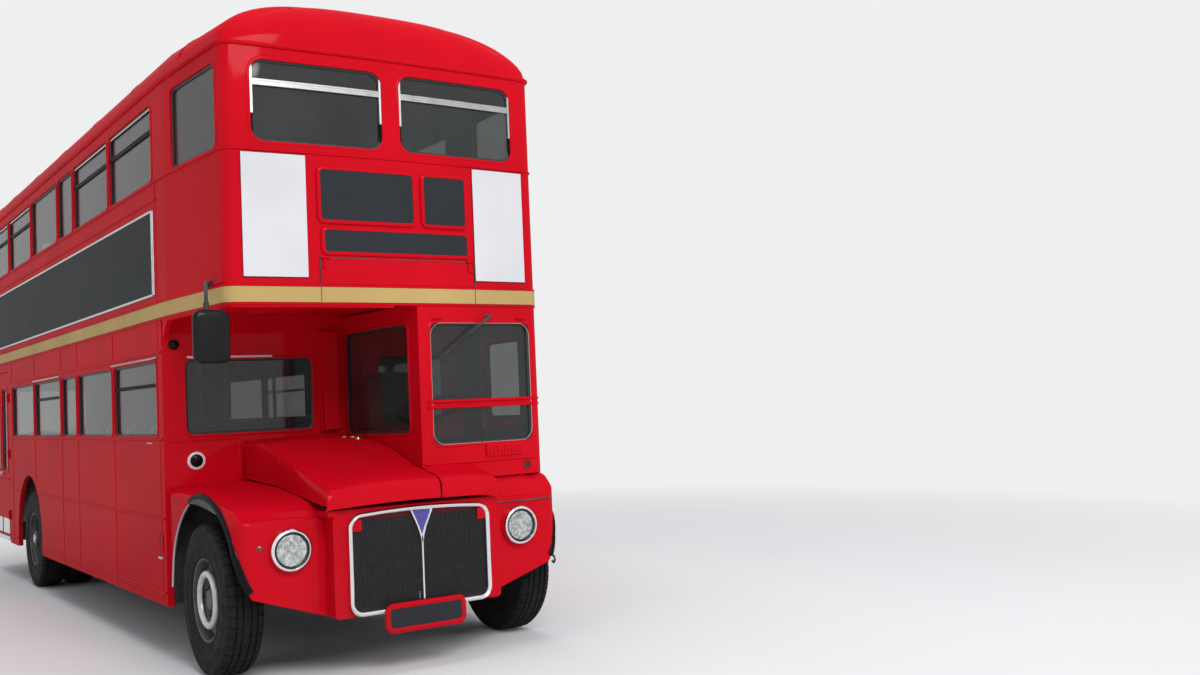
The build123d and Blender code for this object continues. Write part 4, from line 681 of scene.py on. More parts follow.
front_boards, frames_bright, board_joints = Build(), Build(), Build()
for x0, x1 in ((-1.04, -0.62), (0.62, 1.04)):
    front_boards.sweep([(on_wall(s, 2.573, 0.008), wall(s)[1], Z) for s in spaced(x0, x1, 6)],
                       [(-0.001, 0), (0.0015, 0), (0.0015, 0.799), (-0.001, 0.799)])
frame_bar = [(-0.01, 0), (-0.01, 0.012), (-0.004, 0.015), (0.006, 0.013), (0.01, 0)]
BOARD_Y, BOARD_Z = (-2.838, 4.325), (2.585, 3.19)
for side in (-1, 1):
    runs = sorted(side * run_at(y) for y in BOARD_Y)
    for z in BOARD_Z:
        frames_bright.sweep([(p, Z, out) for p, out, up in frames_along(*runs, z)], frame_bar)
    for s in runs:
        frames_bright.sweep(upright_frames(s, BOARD_Z), frame_bar)
    for y in (-1.4, 0.05, 1.5, 2.9):
        board_joints.run([(side * (HALF + 0.0075), y, z) for z in (2.595, 3.18)], Y, X * side,
                         [(-0.002, 0), (-0.0015, 0.0012), (0.0015, 0.0012), (0.002, 0)])
front_boards.make("front_boards", "white")
frames_bright.make("board_frames", "satin")
board_joints.make("board_joints", "rubber")


# Window furniture
def wall_bar(build, s0, s1, z, height, proud):
    """A level bar across a window, standing off the glass."""
    half, edge = height / 2, proud - 0.003
    build.sweep(frames_along(*sorted((s0, s1)), z),
                [(-0.012, -half), (edge, -half), (proud, 0.003 - half),
                 (proud, half - 0.003), (edge, half), (-0.012, half)])


openers, channels = Build(), Build()
for s0, s1 in FRONT_PANES:
    for z, height, proud in ((3.85, 0.016, 0), (3.822, 0.016, 0), (3.836, 0.022, -0.004)):
        wall_bar(openers, s0 + 0.004, s1 - 0.004, z, height, proud)
    for s in (s0 + 0.01, s1 - 0.01):
        openers.sweep(upright_frames(s, (3.63, 3.935)),
                      [(-0.008, -0.014), (-0.008, 0.001), (0.006, 0.002), (0.008, -0.014)])
        channels.sweep(upright_frames(s, (3.5, 3.63)),
                       [(-0.007, -0.014), (-0.007, -0.002), (0.005, -0.002), (0.007, -0.014)])
for side in (-1, 1):
    for y0, y1 in (BAYS[0], BAYS[1], BAYS[4], REAR_BAY):
        runs = side * run_at(y0 + 0.006), side * run_at(y1 - 0.006)
        for build, z in ((channels, 3.792), (channels, 3.775), (openers, 3.944)):
            wall_bar(build, *runs, z, 0.012, -0.004)
    for y0, y1 in (BAYS[0], BAYS[3]):
        for z in (1.945, 1.93):
            wall_bar(channels, side * run_at(y0 + 0.006), side * run_at(y1 - 0.006), z, 0.012, -0.004)
        openers.sweep(frames_along(*sorted((side * run_at(y0 - 0.03), side * run_at(y1 + 0.03))), 2.134),
                      [(-0.001, -0.004), (0.018, -0.01), (0.02, -0.006), (0.006, 0.006), (-0.001, 0.007)])
openers.sweep(wall_ring(SCREEN_X, SCREEN_Z, 0.09),
              [(0.001, 0.002), (0, 0.004), (-0.003, 0.004), (-0.005, 0.001), (-0.005, -0.006)], True)
openers.make("window_openers", "satin")
channels.make("window_channels", "gloss_black")

# Cab screen: a level rail across it that runs on to the corner
rail = Build()
rail_frames = frames_along(0.205, 1.128, 1.71)
for rise in (-0.02, 0.02):
    rail.sweep([(p + Z * rise, a, b) for p, a, b in rail_frames],
               [(-0.012, -0.011), (0.006, -0.011), (0.012, -0.006), (0.012, 0.006), (0.006, 0.011), (-0.012, 0.011)])
rail.sweep(rail_frames, [(-0.018, -0.01), (-0.002, -0.01), (-0.002, 0.01), (-0.018, 0.01)])
rail.sweep(frames_along(0.165, 1.1, 1.3), half_round)
rail.make("screen_rail", "clean_red")


# Sheets used on the front
def skin(build, rows, thickness):
    """A sheet through rows of points, thickened away from its outer face; gives the rows of its other face."""
    count, width = len(rows), len(rows[0])
    total, last, end = count * width, count - 1, width - 1
    back = []
    for i, row in enumerate(rows):
        for j, p in enumerate(row):
            along = rows[min(i + 1, last)][j] - rows[max(i - 1, 0)][j]
            across = row[min(j + 1, end)] - row[max(j - 1, 0)]
            back.append(p - along.cross(across).normalized() * thickness)
    faces = []
    for face in quads(count, width, False, False):
        faces += [face, tuple(total + k for k in reversed(face))]
    rim = list(range(width)) + [i * width + end for i in range(1, count)]
    rim += [last * width + j for j in range(width - 2, -1, -1)] + [i * width for i in range(count - 2, 0, -1)]
    faces += [(a, total + a, total + b, b) for a, b in zip(rim, rim[1:] + rim[:1])]
    build.add([p for row in rows for p in row] + back, faces)
    return [back[i * width:(i + 1) * width] for i in range(count)]


# Bonnet lid: crowned from front to back, rolled over its right edge, with a turned-down lip
TOP = ((-3.011, 1.5), (-3.2, 1.491), (-3.4, 1.475), (-3.6, 1.448), (-3.8, 1.404), (-4, 1.346), (-4.15, 1.296),
       (-4.3, 1.252), (-4.42, 1.222), (-4.475, 1.207), (-4.51, 1.188), (-4.528, 1.16), (-4.532, 1.076))
SKIRT_FOOT = ((-3.011, 1.24), (-3.7, 1.205), (-4.05, 1.158), (-4.53, 1.1))


def arch(x, half=0.56, rise=0.03):
    """How far the nose's top edge rises towards its middle."""
    return rise * max(0, 1 - (x / half) ** 2)


def lid_rows(x_flat, x_edge, stations, foot):
    """Rows of points over a lid from its flat joint to its rolled edge and down to its foot."""
    way = 1 if x_edge > x_flat else -1
    roll = 0.055
    out = []
    for y, z in stations:
        fade = clamp((z - 1.08) / 0.09)
        row = []
        for x in spaced(x_flat, x_edge - way * roll, 16):
            share = (x - x_flat) / (x_edge - x_flat)
            lift = arch(x, 0.64, 0.02) * clamp((-4.15 - y) / 0.25)
            row.append(V(x, y, z + lift + 0.016 * math.sin(math.pi * (0.1 + 0.9 * share)) * fade))
        edge_z = row[-1].z
        for t in spaced(0, math.pi / 2, 7)[1:]:
            row.append(V(x_edge - way * roll * (1 - math.sin(t)), y,
                         edge_z - 0.05 * (1 - math.cos(t)) * (0.2 + 0.8 * fade)))
        low = max(min(between(foot, y), row[-1].z - 0.008), 1.078)
        row += [row[-1].lerp(V(x_edge, y, low), share) for share in (0.5, 1)]
        out.append(row)
    return out


lid = Build()
skin(lid, [row[::-1] for row in lid_rows(0.14, -0.655, TOP, SKIRT_FOOT)], 0.012)
lid.tube([(-0.655, y, max(1.084, between(SKIRT_FOOT, y))) for y, z in TOP[:-3]], 0.006, 8)
lid.make("bonnet_lid", "clean_red", "bonnet", replaces="bonnet", smooth=50)
hinge = Build()
for a in spaced(-0.61, 0.1, 18):
    hinge.tube([(a, -2.999, 1.504), (a + 0.034, -2.999, 1.504)], 0.009)
hinge.box((-0.612, -3.03, 1.488), (0.118, -3.004, 1.4945))
hinge.make("bonnet_hinge", "clean_red", "bonnet", bevel=0.001)
catches = Build()
for y in (-3.22, -3.38):
    catches.lathe((0.07, y, 1.482), Z, [(0, 0), (0, 0.024), (0.012, 0.022), (0.02, 0.014), (0.022, 0)], 20)
    catches.block((0.062, y, 1.5), (0.125, 0.026, 0.012), (V(0.8, 0.6, 0), V(-0.6, 0.8, 0), Z))
catches.make("bonnet_catches", "brass", "bonnet", bevel=0.0015)

# Fixed cowl under the cab, and the casing that the radiator surround stands on
cowl = Build()
cowl_rows = lid_rows(0.153, 0.59, [p for p in TOP if p[0] < -4.2], ((-4.3, 1.09), (-4.53, 1.08)))
cowl_rows.insert(0, [V(p.x, front_y(min(p.x, 0.6)) - 0.002, p.z + 0.02) for p in cowl_rows[0]])
skin(cowl, cowl_rows, 0.012)
outer = rounded_outline(-0.6, 0.6, 0.385, 1.066, 0.03)
inner = rounded_outline(-0.485, 0.485, 0.425, 0.98, 0.06)
cowl.add([(x, y, z + (arch(x) if z > 0.8 else 0)) for y, ring in
          ((NOSE_Y + 0.135, outer), (NOSE_Y, outer), (NOSE_Y, inner), (NOSE_Y + 0.135, inner)) for x, z in ring],
         quads(4, len(outer)))
for level in spaced(0.41, 1.01, 6)[1:-1]:
    for side in (-1, 1):
        cowl.dome((side * 0.6, NOSE_Y + 0.06, level), X * side, 0.007, 0.004)
cowl.box((-0.64, NOSE_Y - 0.02, 1.03), (-0.585, WING_Y + 0.03, 1.068))
cowl.make("nose_cowl", "clean_red", bevel=0.006, angle=50, replaces="front_panel", smooth=50)


# Wings: sheet metal from the front round the corner to the arch, rolled over on top
def wing_top(side, y, x=1.2):
    """The level of a wing's top; the right one also rises towards the bonnet."""
    if side > 0:
        return between(((BULKHEAD_Y, 1.185), (-4.21, 1.185), (-4.25, 1.15), (-4.31, 1.085), (WING_Y, 1.026)), y)
    outer = between(((BULKHEAD_Y, 1.205), (-3.7, 1.17), (-4.1, 1.118), (-4.19, 1.102), (-4.25, 1.082),
                     (WING_Y, 1.026)), y)
    inner = between(((BULKHEAD_Y, 1.225), (-3.7, 1.192), (-4.05, 1.15), (-4.22, 1.12), (WING_Y, 1.048)), y)
    return outer + (inner - outer) * eased(clamp((1.16 - x) / 0.5))


def wing_foot(y, corner):
    """The level of the sheet's lower edge: corner runs from 0 on the side to 1 on the front."""
    top = AXLE_Z + math.sqrt(max(0, ARCH_R**2 - (y - FRONT_AXLE) ** 2))
    return top + (0.555 - top) * corner**2


def wing_path():
    """The wing's plan from the back of its side to the inner end of its front: x, y, normal, foot."""
    path = [(1.2, y, 1, 0, 0.385) for y in (BULKHEAD_Y - 0.001, -3.02, -3.0445)]
    path += [(1.2 - 0.03 * clamp(-3.2 - y), y, 1, 0, wing_foot(y, 0)) for y in spaced(-3.0455, WING_Y + 0.09, 36)]
    for k in range(1, 13):
        t = math.radians(90 * k / 12)
        y = WING_Y + 0.09 - 0.09 * math.sin(t)
        path.append((1.08 + 0.09 * math.cos(t), y, math.cos(t), -math.sin(t), wing_foot(y, k / 12)))
    path += [(x, WING_Y, 0, -1, 0.555 - (1.08 - x) / 0.48 * 0.16) for x in spaced(1.08, 0.6, 10)[1:]]
    return path


PATH = wing_path()
for side, name in ((-1, "right"), (1, "left")):
    wing = Build()
    rows = []
    for k, (x, y, nx, ny, foot) in enumerate(PATH):
        far = k / (len(PATH) - 1)
        roll = 0.055 - 0.035 * clamp(-ny * 1.4)
        spine = V(0.6, BULKHEAD_Y + (WING_Y + 0.03 - BULKHEAD_Y) * far, 0)
        rim_place = V(x - nx * roll, y - ny * roll, 0)
        edge = wing_top(side, y - ny * roll * 0.5)
        row = [V(x, y, z) for z in spaced(foot, edge - roll, 12)]
        for t in spaced(0, math.pi / 2, 6)[1:]:
            place = V(x - nx * roll * (1 - math.cos(t)), y - ny * roll * (1 - math.cos(t)), 0)
            row.append(V(place.x, place.y, min(edge, wing_top(side, place.y)) - roll * (1 - math.sin(t))))
        crest = row[-1].z
        for share in spaced(0, 1, 10)[1:]:
            place = rim_place.lerp(spine, share)
            level = wing_top(side, place.y, place.x)
            row.append(V(place.x, place.y, crest + (level - crest) * min(1, share * 4)))
        rows.append([V(side * p.x, p.y, p.z) for p in row])
    rows = rows if side < 0 else [row[::-1] for row in rows]
    skin(wing, rows, 0.01)
    lining = Build()
    skin(lining, skin(Build(), rows, 0.012), 0.003)
    inner, outer = sorted((side * 0.6, side * 1.185))
    lining.box((inner, BULKHEAD_Y - 0.014, 0.4), (outer, BULKHEAD_Y - 0.004, 1.14))
    lining.make(f"wing_lining_{name}", "chassis", smooth=45)
    wing.make(f"wing_{name}", "clean_red", replaces=f"{name}_wing", smooth=45)
    # Black strip on the front half of the arch, and a thin bead along the whole edge
    lip, bead = Build(), Build()
    edge_path = [p for p in PATH if p[4] > 0.39 and p[1] > WING_Y + 0.002]
    frames = []
    for k, (x, y, nx, ny, foot) in enumerate(edge_path):
        before, after = edge_path[max(k - 1, 0)], edge_path[min(k + 1, len(edge_path) - 1)]
        along = V(side * (after[0] - before[0]), after[1] - before[1], after[4] - before[4]).normalized()
        out_way = V(side * nx, ny, 0)
        across = out_way.cross(along).normalized()
        if across.z < 0:
            across = -across
        frames.append((V(side * x, y, foot), across, out_way))
    lip.sweep([f for f, p in zip(frames, edge_path) if p[1] < FRONT_AXLE + 0.24],
              [(-0.01, -0.014), (-0.012, 0.006), (-0.004, 0.014), (0.02, 0.015), (0.032, 0.009), (0.036, -0.002)])
    bead.sweep(frames,
               [(-0.005, -0.01), (-0.006, 0.003), (-0.003, 0.006), (0.001, 0.005), (0.003, 0.001), (0.002, -0.003)])
    lip.make(f"arch_strip_{name}", "gloss_black", smooth=50)
    bead.make(f"arch_bead_{name}", "satin", smooth=50)

# Bright surround: a rounded bar with a centre bar that splits in two round a blank badge
chrome = Build()
loop = flat_ring((0, NOSE_Y, 0), FRONT_AXES, (-0.512, 0.512), (0.385, 1.027), 0.088, 0, 10)
loop = [(p.lerp(q[0], k / 6), a, b) for (p, a, b), q in zip(loop, loop[1:] + loop[:1])
        for k in range(6 if (p - q[0]).length > 0.3 else 1)]
loop = [(p + Z * (arch(p.x) if p.z > 0.8 else 0), a, b) for p, a, b in loop]
chrome.sweep(loop, [(-0.034, 0), (-0.034, 0.03), (-0.027, 0.044), (-0.014, 0.05),
                    (-0.004, 0.044), (0, 0.03), (0, 0)], True)
face_y = NOSE_Y - 0.012
split = ((0.002, 0.82), (0.005, 0.845), (0.012, 0.875), (0.026, 0.918), (0.048, 0.97), (0.078, 1.036))
for points in (((0, 0.4), (0, 0.865)), split, [(-x, z) for x, z in split]):
    line = [V(x, face_y, z) for x, z in points]
    spans = []
    for k, p in enumerate(line):
        along = (line[min(k + 1, len(line) - 1)] - line[max(k - 1, 0)]).normalized()
        spans.append((p, along.cross(-Y), -Y))
    chrome.sweep(spans, [(-0.011, -0.01), (-0.011, 0.018), (-0.005, 0.03),
                         (0.005, 0.03), (0.011, 0.018), (0.011, -0.01)])
chrome.make("radiator_frame", "chrome", replaces="radiator_surround", smooth=50)
badge = Build()
badge.extrude([(-0.068, 1.03), (0.068, 1.03), (0.04, 0.96), (0, 0.875), (-0.04, 0.96)],
              FRONT_AXES, (0, NOSE_Y, 0), (0.008, 0.032))
badge.make("blank_badge", "violet", bevel=0.003)
tabs = Build()
for side in (-1, 1):
    tabs.block((side * 0.45, NOSE_Y - 0.03, 0.962), (0.062, 0.01, 0.072), LEVEL_AXES)
    tabs.dome((side * 0.45, NOSE_Y - 0.035, 0.96), -Y, 0.012, 0.006, 12)
tabs.make("surround_tabs", "clean_red", bevel=0.003)

# Wire mesh in the surround, upright wires behind level ones, with the dark core behind
wires, core = Build(), Build()
pitch = 0.0125
for side in (-1, 1):
    x0, x1, z0, z1 = 0.01, 0.482, 0.417, 0.994
    for k in range(int((x1 - x0) / pitch)):
        x = side * (x0 + (k + 0.5) * pitch)
        top = z1 + arch(x)
        wires.block((x, NOSE_Y - 0.018, (z0 + top) / 2), (0.0042, 0.003, top - z0), LEVEL_AXES)
    for k in range(int((z1 - z0) / pitch)):
        z = z0 + (k + 0.5) * pitch
        wires.block((side * (x0 + x1) / 2, NOSE_Y - 0.021, z), (x1 - x0, 0.003, 0.0042), LEVEL_AXES)
    core.box(*sorted(((side * x0, NOSE_Y + 0.01, z0), (side * x1, NOSE_Y + 0.02, z1))))
    for k in range(24):
        x = side * (x0 + (k + 0.5) * (x1 - x0) / 24)
        core.block((x, NOSE_Y + 0.003, (z0 + z1) / 2), (0.004, 0.018, z1 - z0), LEVEL_AXES)
wires.make("grille_wires", "mesh", replaces="grille")
core.make("radiator_core", "core", bevel=0.0008, steps=1)

# Headlamps: bezel, reflector, bulb shield and a fluted lens
LAMP_X, LAMP_Z = 0.835, 0.838
bezels, seats, bowls, lenses = Build(), Build(), Build(), Build()
for side in (-1, 1):
    place = (side * LAMP_X, WING_Y, LAMP_Z)
    bezels.lathe(place, -Y, [(-0.002, 0.128), (0.012, 0.135), (0.026, 0.136), (0.042, 0.132), (0.051, 0.124),
                             (0.052, 0.116), (0.044, 0.111), (0.03, 0.11), (-0.002, 0.114)], 64)
    bezels.block((side * LAMP_X, WING_Y - 0.044, LAMP_Z + 0.127), (0.024, 0.014, 0.012), LEVEL_AXES)
    bowls.lathe(place, -Y, [(0.034, 0.101), (0.024, 0.092), (0.004, 0.066), (-0.012, 0.03), (-0.014, 0)], 56)
    bowls.lathe(place, -Y, [(-0.01, 0), (-0.01, 0.018), (0.018, 0.02), (0.026, 0.012), (0.028, 0)], 24)
    seats.lathe(place, -Y, [(0.03, 0.1095), (0.04, 0.1095), (0.043, 0.105), (0.04, 0.099), (0.03, 0.099)], 56)
    rings = [(0.034, 0.099), (0.04, 0.097), (0.047, 0.074), (0.0505, 0.04), (0.052, 0)]
    lenses.lathe(place, -Y, rings + [(0.049, 0), (0.0475, 0.04), (0.044, 0.074), (0.036, 0.095)], 56)
    for k in range(-7, 8):
        x = k * 0.0125
        half = math.sqrt(0.093**2 - x * x)
        lenses.block((side * LAMP_X + x, WING_Y - 0.046 + abs(x) * 0.08, LAMP_Z), (0.003, 0.004, 2 * half * 0.93),
                     LEVEL_AXES)
bezels.make("headlamp_bezels", "chrome", replaces="headlamps", smooth=50)
seats.make("headlamp_seats", "rubber", smooth=50)
bowls.make("headlamp_bowls", "reflector", smooth=60)
lenses.make("headlamp_lenses", "lens", smooth=50)

# Small marker on the right wing's front
marks = Build()
marks.lathe((-1.03, WING_Y + 0.003, 0.865), V(-0.35, -1, 0).normalized(),
            [(0, 0.018), (0.006, 0.02), (0.01, 0.016), (0.012, 0)], 24)
marks.make("front_marker", "red_lens", smooth=50)

# Number plate: a red edge round a plain black field
edge, field = Build(), Build()
plate_y = NOSE_Y - 0.062
edge.sweep(flat_ring((0, plate_y, 0), FRONT_AXES, (-0.29, 0.29), (0.256, 0.446), 0.055),
           [(-0.034, -0.01), (-0.034, 0.006), (-0.028, 0.011), (-0.008, 0.012), (0, 0.004), (0, -0.01)], True)
field.extrude(rounded_outline(-0.262, 0.262, 0.284, 0.418, 0.01), FRONT_AXES, (0, plate_y, 0), (-0.012, 0.004))
edge.make("plate_edge", "clean_red", replaces="number_plate", smooth=50)
field.make("plate_field", "display", bevel=0.001)

# Tyres: treaded blocks, grooves and ringed sidewalls
SIDEWALL = ((0.104, 0.262), (0.112, 0.272), (0.117, 0.288), (0.1195, 0.292), (0.1195, 0.3), (0.117, 0.304),
            (0.1205, 0.335), (0.123, 0.372), (0.1245, 0.378), (0.1245, 0.386), (0.123, 0.392), (0.1235, 0.425),
            (0.119, 0.458), (0.1195, 0.462))
TREAD = ((0.112, 0.482, 1), (0.09, 0.496, 1), (0.072, 0.4985, 1), (0.07, 0.486, 0), (0.062, 0.486, 0),
         (0.06, 0.499, 0.6), (0.032, 0.4995, 0.6), (0.03, 0.487, 0), (0.022, 0.487, 0), (0.02, 0.4995, 0.5))


def tyre(build, centre, blocks=46):
    x, y, z = centre
    profile = [(a, r, 0) for a, r in SIDEWALL] + list(TREAD)
    profile += [(-a, r, cut) for a, r, cut in reversed(profile)]
    verts = []
    for k in range(blocks):
        for share, low in ((0, 0), (0.8, 0), (0.84, 1), (0.96, 1)):
            turn = 2 * math.pi * (k + share) / blocks
            for a, r, cut in profile:
                radius = r - 0.009 * cut * low
                verts.append((x + a, y + radius * math.cos(turn), z + radius * math.sin(turn)))
    build.add(verts, quads(4 * blocks, len(profile)))


def hub_ring(centre, out, radius, count, start=0.5):
    """Places on a ring about a wheel's axle."""
    x, y, z = centre
    return [(x + out, y + radius * math.cos(t), z + radius * math.sin(t)) for t in turns(count, start)]


def lug_nuts(build, centre, side, radius, count, at, size=0.015):
    for place in hub_ring(centre, side * at, radius, count):
        build.lathe(place, X * side,
                    [(-0.002, 0), (-0.002, size * 1.25), (0.004, size * 1.25), (0.005, size), (0.02, size),
                     (0.023, size * 0.7), (0.023, 0)], 6)
        build.lathe(place, X * side,
                    [(0, 0), (0, size * 0.55), (0.032, size * 0.55), (0.034, size * 0.3), (0.034, 0)], 10)


for side, name in ((-1, "right"), (1, "left")):
    front, rear = (side * WHEEL_X, FRONT_AXLE, AXLE_Z), (side * WHEEL_X, REAR_AXLE, AXLE_Z)
    twin = (side * INNER_WHEEL_X, REAR_AXLE, AXLE_Z)
    rubber = Build()
    tyre(rubber, front)
    rubber.make(f"front_tyre_tread_{name}", "tyre", f"front_wheel_{name}", replaces=f"front_tyre_{name}", smooth=38)
    rubber = Build()
    tyre(rubber, rear)
    tyre(rubber, twin)
    rubber.make(f"rear_tyre_tread_{name}", "tyre", f"rear_wheel_{name}", replaces=f"rear_tyres_{name}", smooth=38)
    # Rims and hubs
    axis = X * side
    flange = [(0.108, 0.262), (0.112, 0.274), (0.107, 0.279), (0.1, 0.272), (0.092, 0.26), (0.06, 0.25)]
    wheel = Build()
    wheel.lathe(front, axis, flange + [(0.046, 0.244), (0.04, 0.226), (0.02, 0.212), (0.014, 0.196), (0.026, 0.176),
                                       (0.034, 0.17), (0.034, 0.12), (0.028, 0.118), (0.01, 0.17), (0.004, 0.196),
                                       (0.008, 0.22), (0.03, 0.238), (-0.06, 0.24), (-0.092, 0.252), (-0.108, 0.262),
                                       (-0.108, 0.256), (-0.094, 0.244), (0.05, 0.238)], 60)
    for place in hub_ring(front, side * 0.016, 0.213, 8):
        wheel.lathe(place, axis, [(0, 0.01), (0.004, 0.017), (0.007, 0.017), (0.007, 0.012), (0, 0.008)], 14)
    wheel.lathe(front, axis, [(0.028, 0), (0.028, 0.108), (0.044, 0.1), (0.056, 0.082), (0.076, 0.072),
                              (0.086, 0.062), (0.088, 0)])
    lug_nuts(wheel, front, side, 0.084, 8, 0.05, 0.007)
    for place in hub_ring(front, side * 0.03, 0.168, 5, 0):
        wheel.lathe(place, axis, [(0, 0), (0, 0.012), (0.062, 0.008), (0.066, 0)], 12)
    bright = Build()
    bright.lathe(front, axis, [(0.086, 0.146), (0.098, 0.147), (0.107, 0.152), (0.112, 0.161), (0.112, 0.175),
                               (0.107, 0.185), (0.096, 0.191), (0.084, 0.191), (0.084, 0.187), (0.1, 0.18),
                               (0.104, 0.168), (0.1, 0.157), (0.086, 0.15)], 64)
    lug_nuts(wheel, front, side, 0.141, 10, 0.034, 0.0125)
    wheel.make(f"front_rim_{name}", "wheel", f"front_wheel_{name}", replaces=f"front_wheel_{name}", smooth=42)
    bright.make(f"nut_guard_{name}", "silver", f"front_wheel_{name}", smooth=60)
    wheel = Build()
    for middle, disc in ((rear, -0.095), (twin, 0.095)):
        way = 1 if disc < 0 else -1
        dish = [(0.04 * way, 0.244), (-0.04 * way, 0.24), (disc * 0.9, 0.228), (disc, 0.206), (disc, 0.125),
                (disc - 0.009 * way, 0.125), (disc - 0.009 * way, 0.21), (disc * 0.9 - 0.011 * way, 0.238),
                (-0.108 * way, 0.25), (-0.108 * way, 0.262), (-0.09 * way, 0.252), (-0.03 * way, 0.248),
                (0.05 * way, 0.252)]
        wheel.lathe(middle, axis, [(a * way, r) for a, r in flange] + dish, 60)
    wheel.lathe(rear, axis, [(-0.44, 0), (-0.44, 0.105), (-0.4, 0.15), (-0.11, 0.15), (-0.086, 0.15), (-0.086, 0.112),
                             (0.02, 0.106), (0.048, 0.096), (0.056, 0.08), (0.06, 0.078), (0.1, 0.074),
                             (0.108, 0.06), (0.11, 0)])
    lug_nuts(wheel, rear, side, 0.172, 10, -0.095, 0.015)
    lug_nuts(wheel, rear, side, 0.088, 8, 0.048, 0.007)
    wheel.make(f"rear_rims_{name}", "wheel", f"rear_wheel_{name}", replaces=f"rear_wheels_{name}", smooth=42)
    cap = Build()
    cap.lathe(rear, axis, [(0.098, 0.046), (0.114, 0.044), (0.117, 0.034), (0.117, 0), (0.098, 0)], 32)
    cap.make(f"rear_hub_cap_{name}", "satin", f"rear_wheel_{name}", smooth=42)

# Mirror: a moulded black head on a bent arm
head, pane, arm = Build(), Build(), Build()
rows = []
for y, grow, shift in ((-4.195, -0.006, 0), (-4.198, 0, 0), (-4.214, 0, 0), (-4.226, -0.006, 0.002),
                       (-4.235, -0.018, 0.004), (-4.24, -0.038, 0.006)):
    ring = rounded_outline(-1.36 - grow, -1.13 + grow, 2.025 - grow, 2.36 + grow, 0.05 + grow * 0.4, 6)
    rows.append([V(x, y, z + shift) for x, z in ring])
count = len(rows[0])
head.add([p for row in rows for p in row],
         quads(6, count, False) + [tuple(range(count)), tuple(range(5 * count, 6 * count))])
head.make("mirror_head", "plastic", smooth=50)
pane.extrude(rounded_outline(-1.346, -1.144, 2.04, 2.346, 0.035), (X, Z, Y), (0, -4.195, 0), (-0.002, 0.0012))
pane.make("mirror_pane", "chrome")
foot, along, normal = upright_frames(-run_at(-3.955), (2.54,))[0]
corner = V(-1.27, -4.2, 2.54)
inward = (foot - corner).normalized() * 0.05
bend = [corner + inward * (1 - t) ** 2 - Z * 0.05 * t * t for t in (0, 0.3, 0.6, 1)]
arm.tube([foot + normal * 0.012] + bend + [(-1.27, -4.2, z) for z in (2.4, 2.3, 2.1)], 0.011, 12)
arm.lathe((-1.27, -4.2, 2.385), Z, [(-0.03, 0), (-0.03, 0.018), (0.02, 0.018), (0.028, 0.012), (0.028, 0)], 16)
arm.block(foot + normal * 0.006, (0.062, 0.012, 0.052), (along, normal, Z))
for dx, dz in ((-1, -1), (1, -1), (-1, 1), (1, 1)):
    arm.dome(foot + normal * 0.012 + Z * dz * 0.017 + along * dx * 0.022, normal, 0.005, 0.003)
arm.make("mirror_arm", "chassis", bevel=0.0015, replaces="mirror")

# Wiper: spindle, sprung arm and blade
wiper, blade = Build(), Build()
pivot = V(0.7, front_y(0.7), 2.317)
tip = V(0.3, front_y(0.3) - 0.036, 2.03)
wiper.lathe(pivot, -Y, [(-0.01, 0), (-0.01, 0.02), (0.006, 0.02), (0.01, 0.012), (0.04, 0.011), (0.05, 0.008),
                        (0.051, 0)], 20)
root = pivot - Y * 0.042
reach = (tip - root).normalized()
side_way = reach.cross(-Y).normalized()
wiper.sweep([(root + reach * d, side_way * w, -Y) for d, w in
             ((-0.03, 0.7), (0, 1.2), (0.1, 1), (0.26, 0.6), (0.34, 0.45))],
            [(-0.008, -0.003), (-0.008, 0.003), (-0.004, 0.006), (0.004, 0.006), (0.008, 0.003), (0.008, -0.003)])
middle = root.lerp(tip, 0.7)
for d in (-0.14, 0.14):
    wiper.tube([middle - Y * 0.004, middle + reach * d * 0.6 + Y * 0.004, middle + reach * d + Y * 0.01], 0.0035, 8)
blade.run([middle + reach * d + Y * 0.014 for d in (-0.155, 0.155)], side_way, -Y,
          [(-0.004, 0.006), (-0.0015, 0), (-0.0015, -0.014), (0.0015, -0.014), (0.0015, 0), (0.004, 0.006)])
wiper.make("wiper_arm", "chassis", bevel=0.001, replaces="windscreen_wiper", smooth=45)
blade.make("wiper_blade", "rubber")

# Bulkhead and canopy: lamp, white strip, trunking, corner gusset and the canopy's edge
ring, glow = Build(), Build()
lamp_at = (-0.997, BULKHEAD_Y, 1.385)
ring.lathe(lamp_at, -Y, [(0, 0.045), (0, 0.064), (0.008, 0.064), (0.014, 0.056), (0.012, 0.046)], 40)
glow.lathe(lamp_at, -Y, [(0.002, 0.047), (0.01, 0.046), (0.018, 0.03), (0.021, 0)], 32)
ring.make("bulkhead_lamp_ring", "pearl", smooth=50)
glow.lathe((-1.135, BULKHEAD_Y, 2.215), -Y,
           [(-0.002, 0), (-0.002, 0.034), (0.02, 0.034), (0.028, 0.026), (0.03, 0)], 28)
glow.make("bulkhead_lamp_glass", "gloss_black", smooth=50)
trunk = Build()
trunk.box((-0.045, BULKHEAD_Y - 0.062, 1.56), (0.075, BULKHEAD_Y + 0.002, 2.3))
trunk.box((-0.06, BULKHEAD_Y - 0.02, 1.545), (0.09, BULKHEAD_Y + 0.002, 2.315))
for line in (((-1.185, 1.53), (-0.68, 1.53)), ((-0.68, 1.53), (-0.68, 1.23))):
    trunk.tube([(x, BULKHEAD_Y - 0.001, z) for x, z in line], 0.008)
trunk.make("bulkhead_trunking", "clean_red", bevel=0.007, steps=3)
strip_white = Build()
strip_white.box((-1.045, BULKHEAD_Y - 0.008, 2.118), (-0.42, BULKHEAD_Y + 0.002, 2.134))
strip_white.make("bulkhead_strip", "white", slot="cream_paint", bevel=0.003)
edge = Build()
edge.sweep(frames_along(-run_at(-3.02), -0.02, 2.385),
           [(-0.045, -0.008), (-0.004, -0.008), (0.002, 0), (0.003, 0.026), (-0.045, 0.026)])
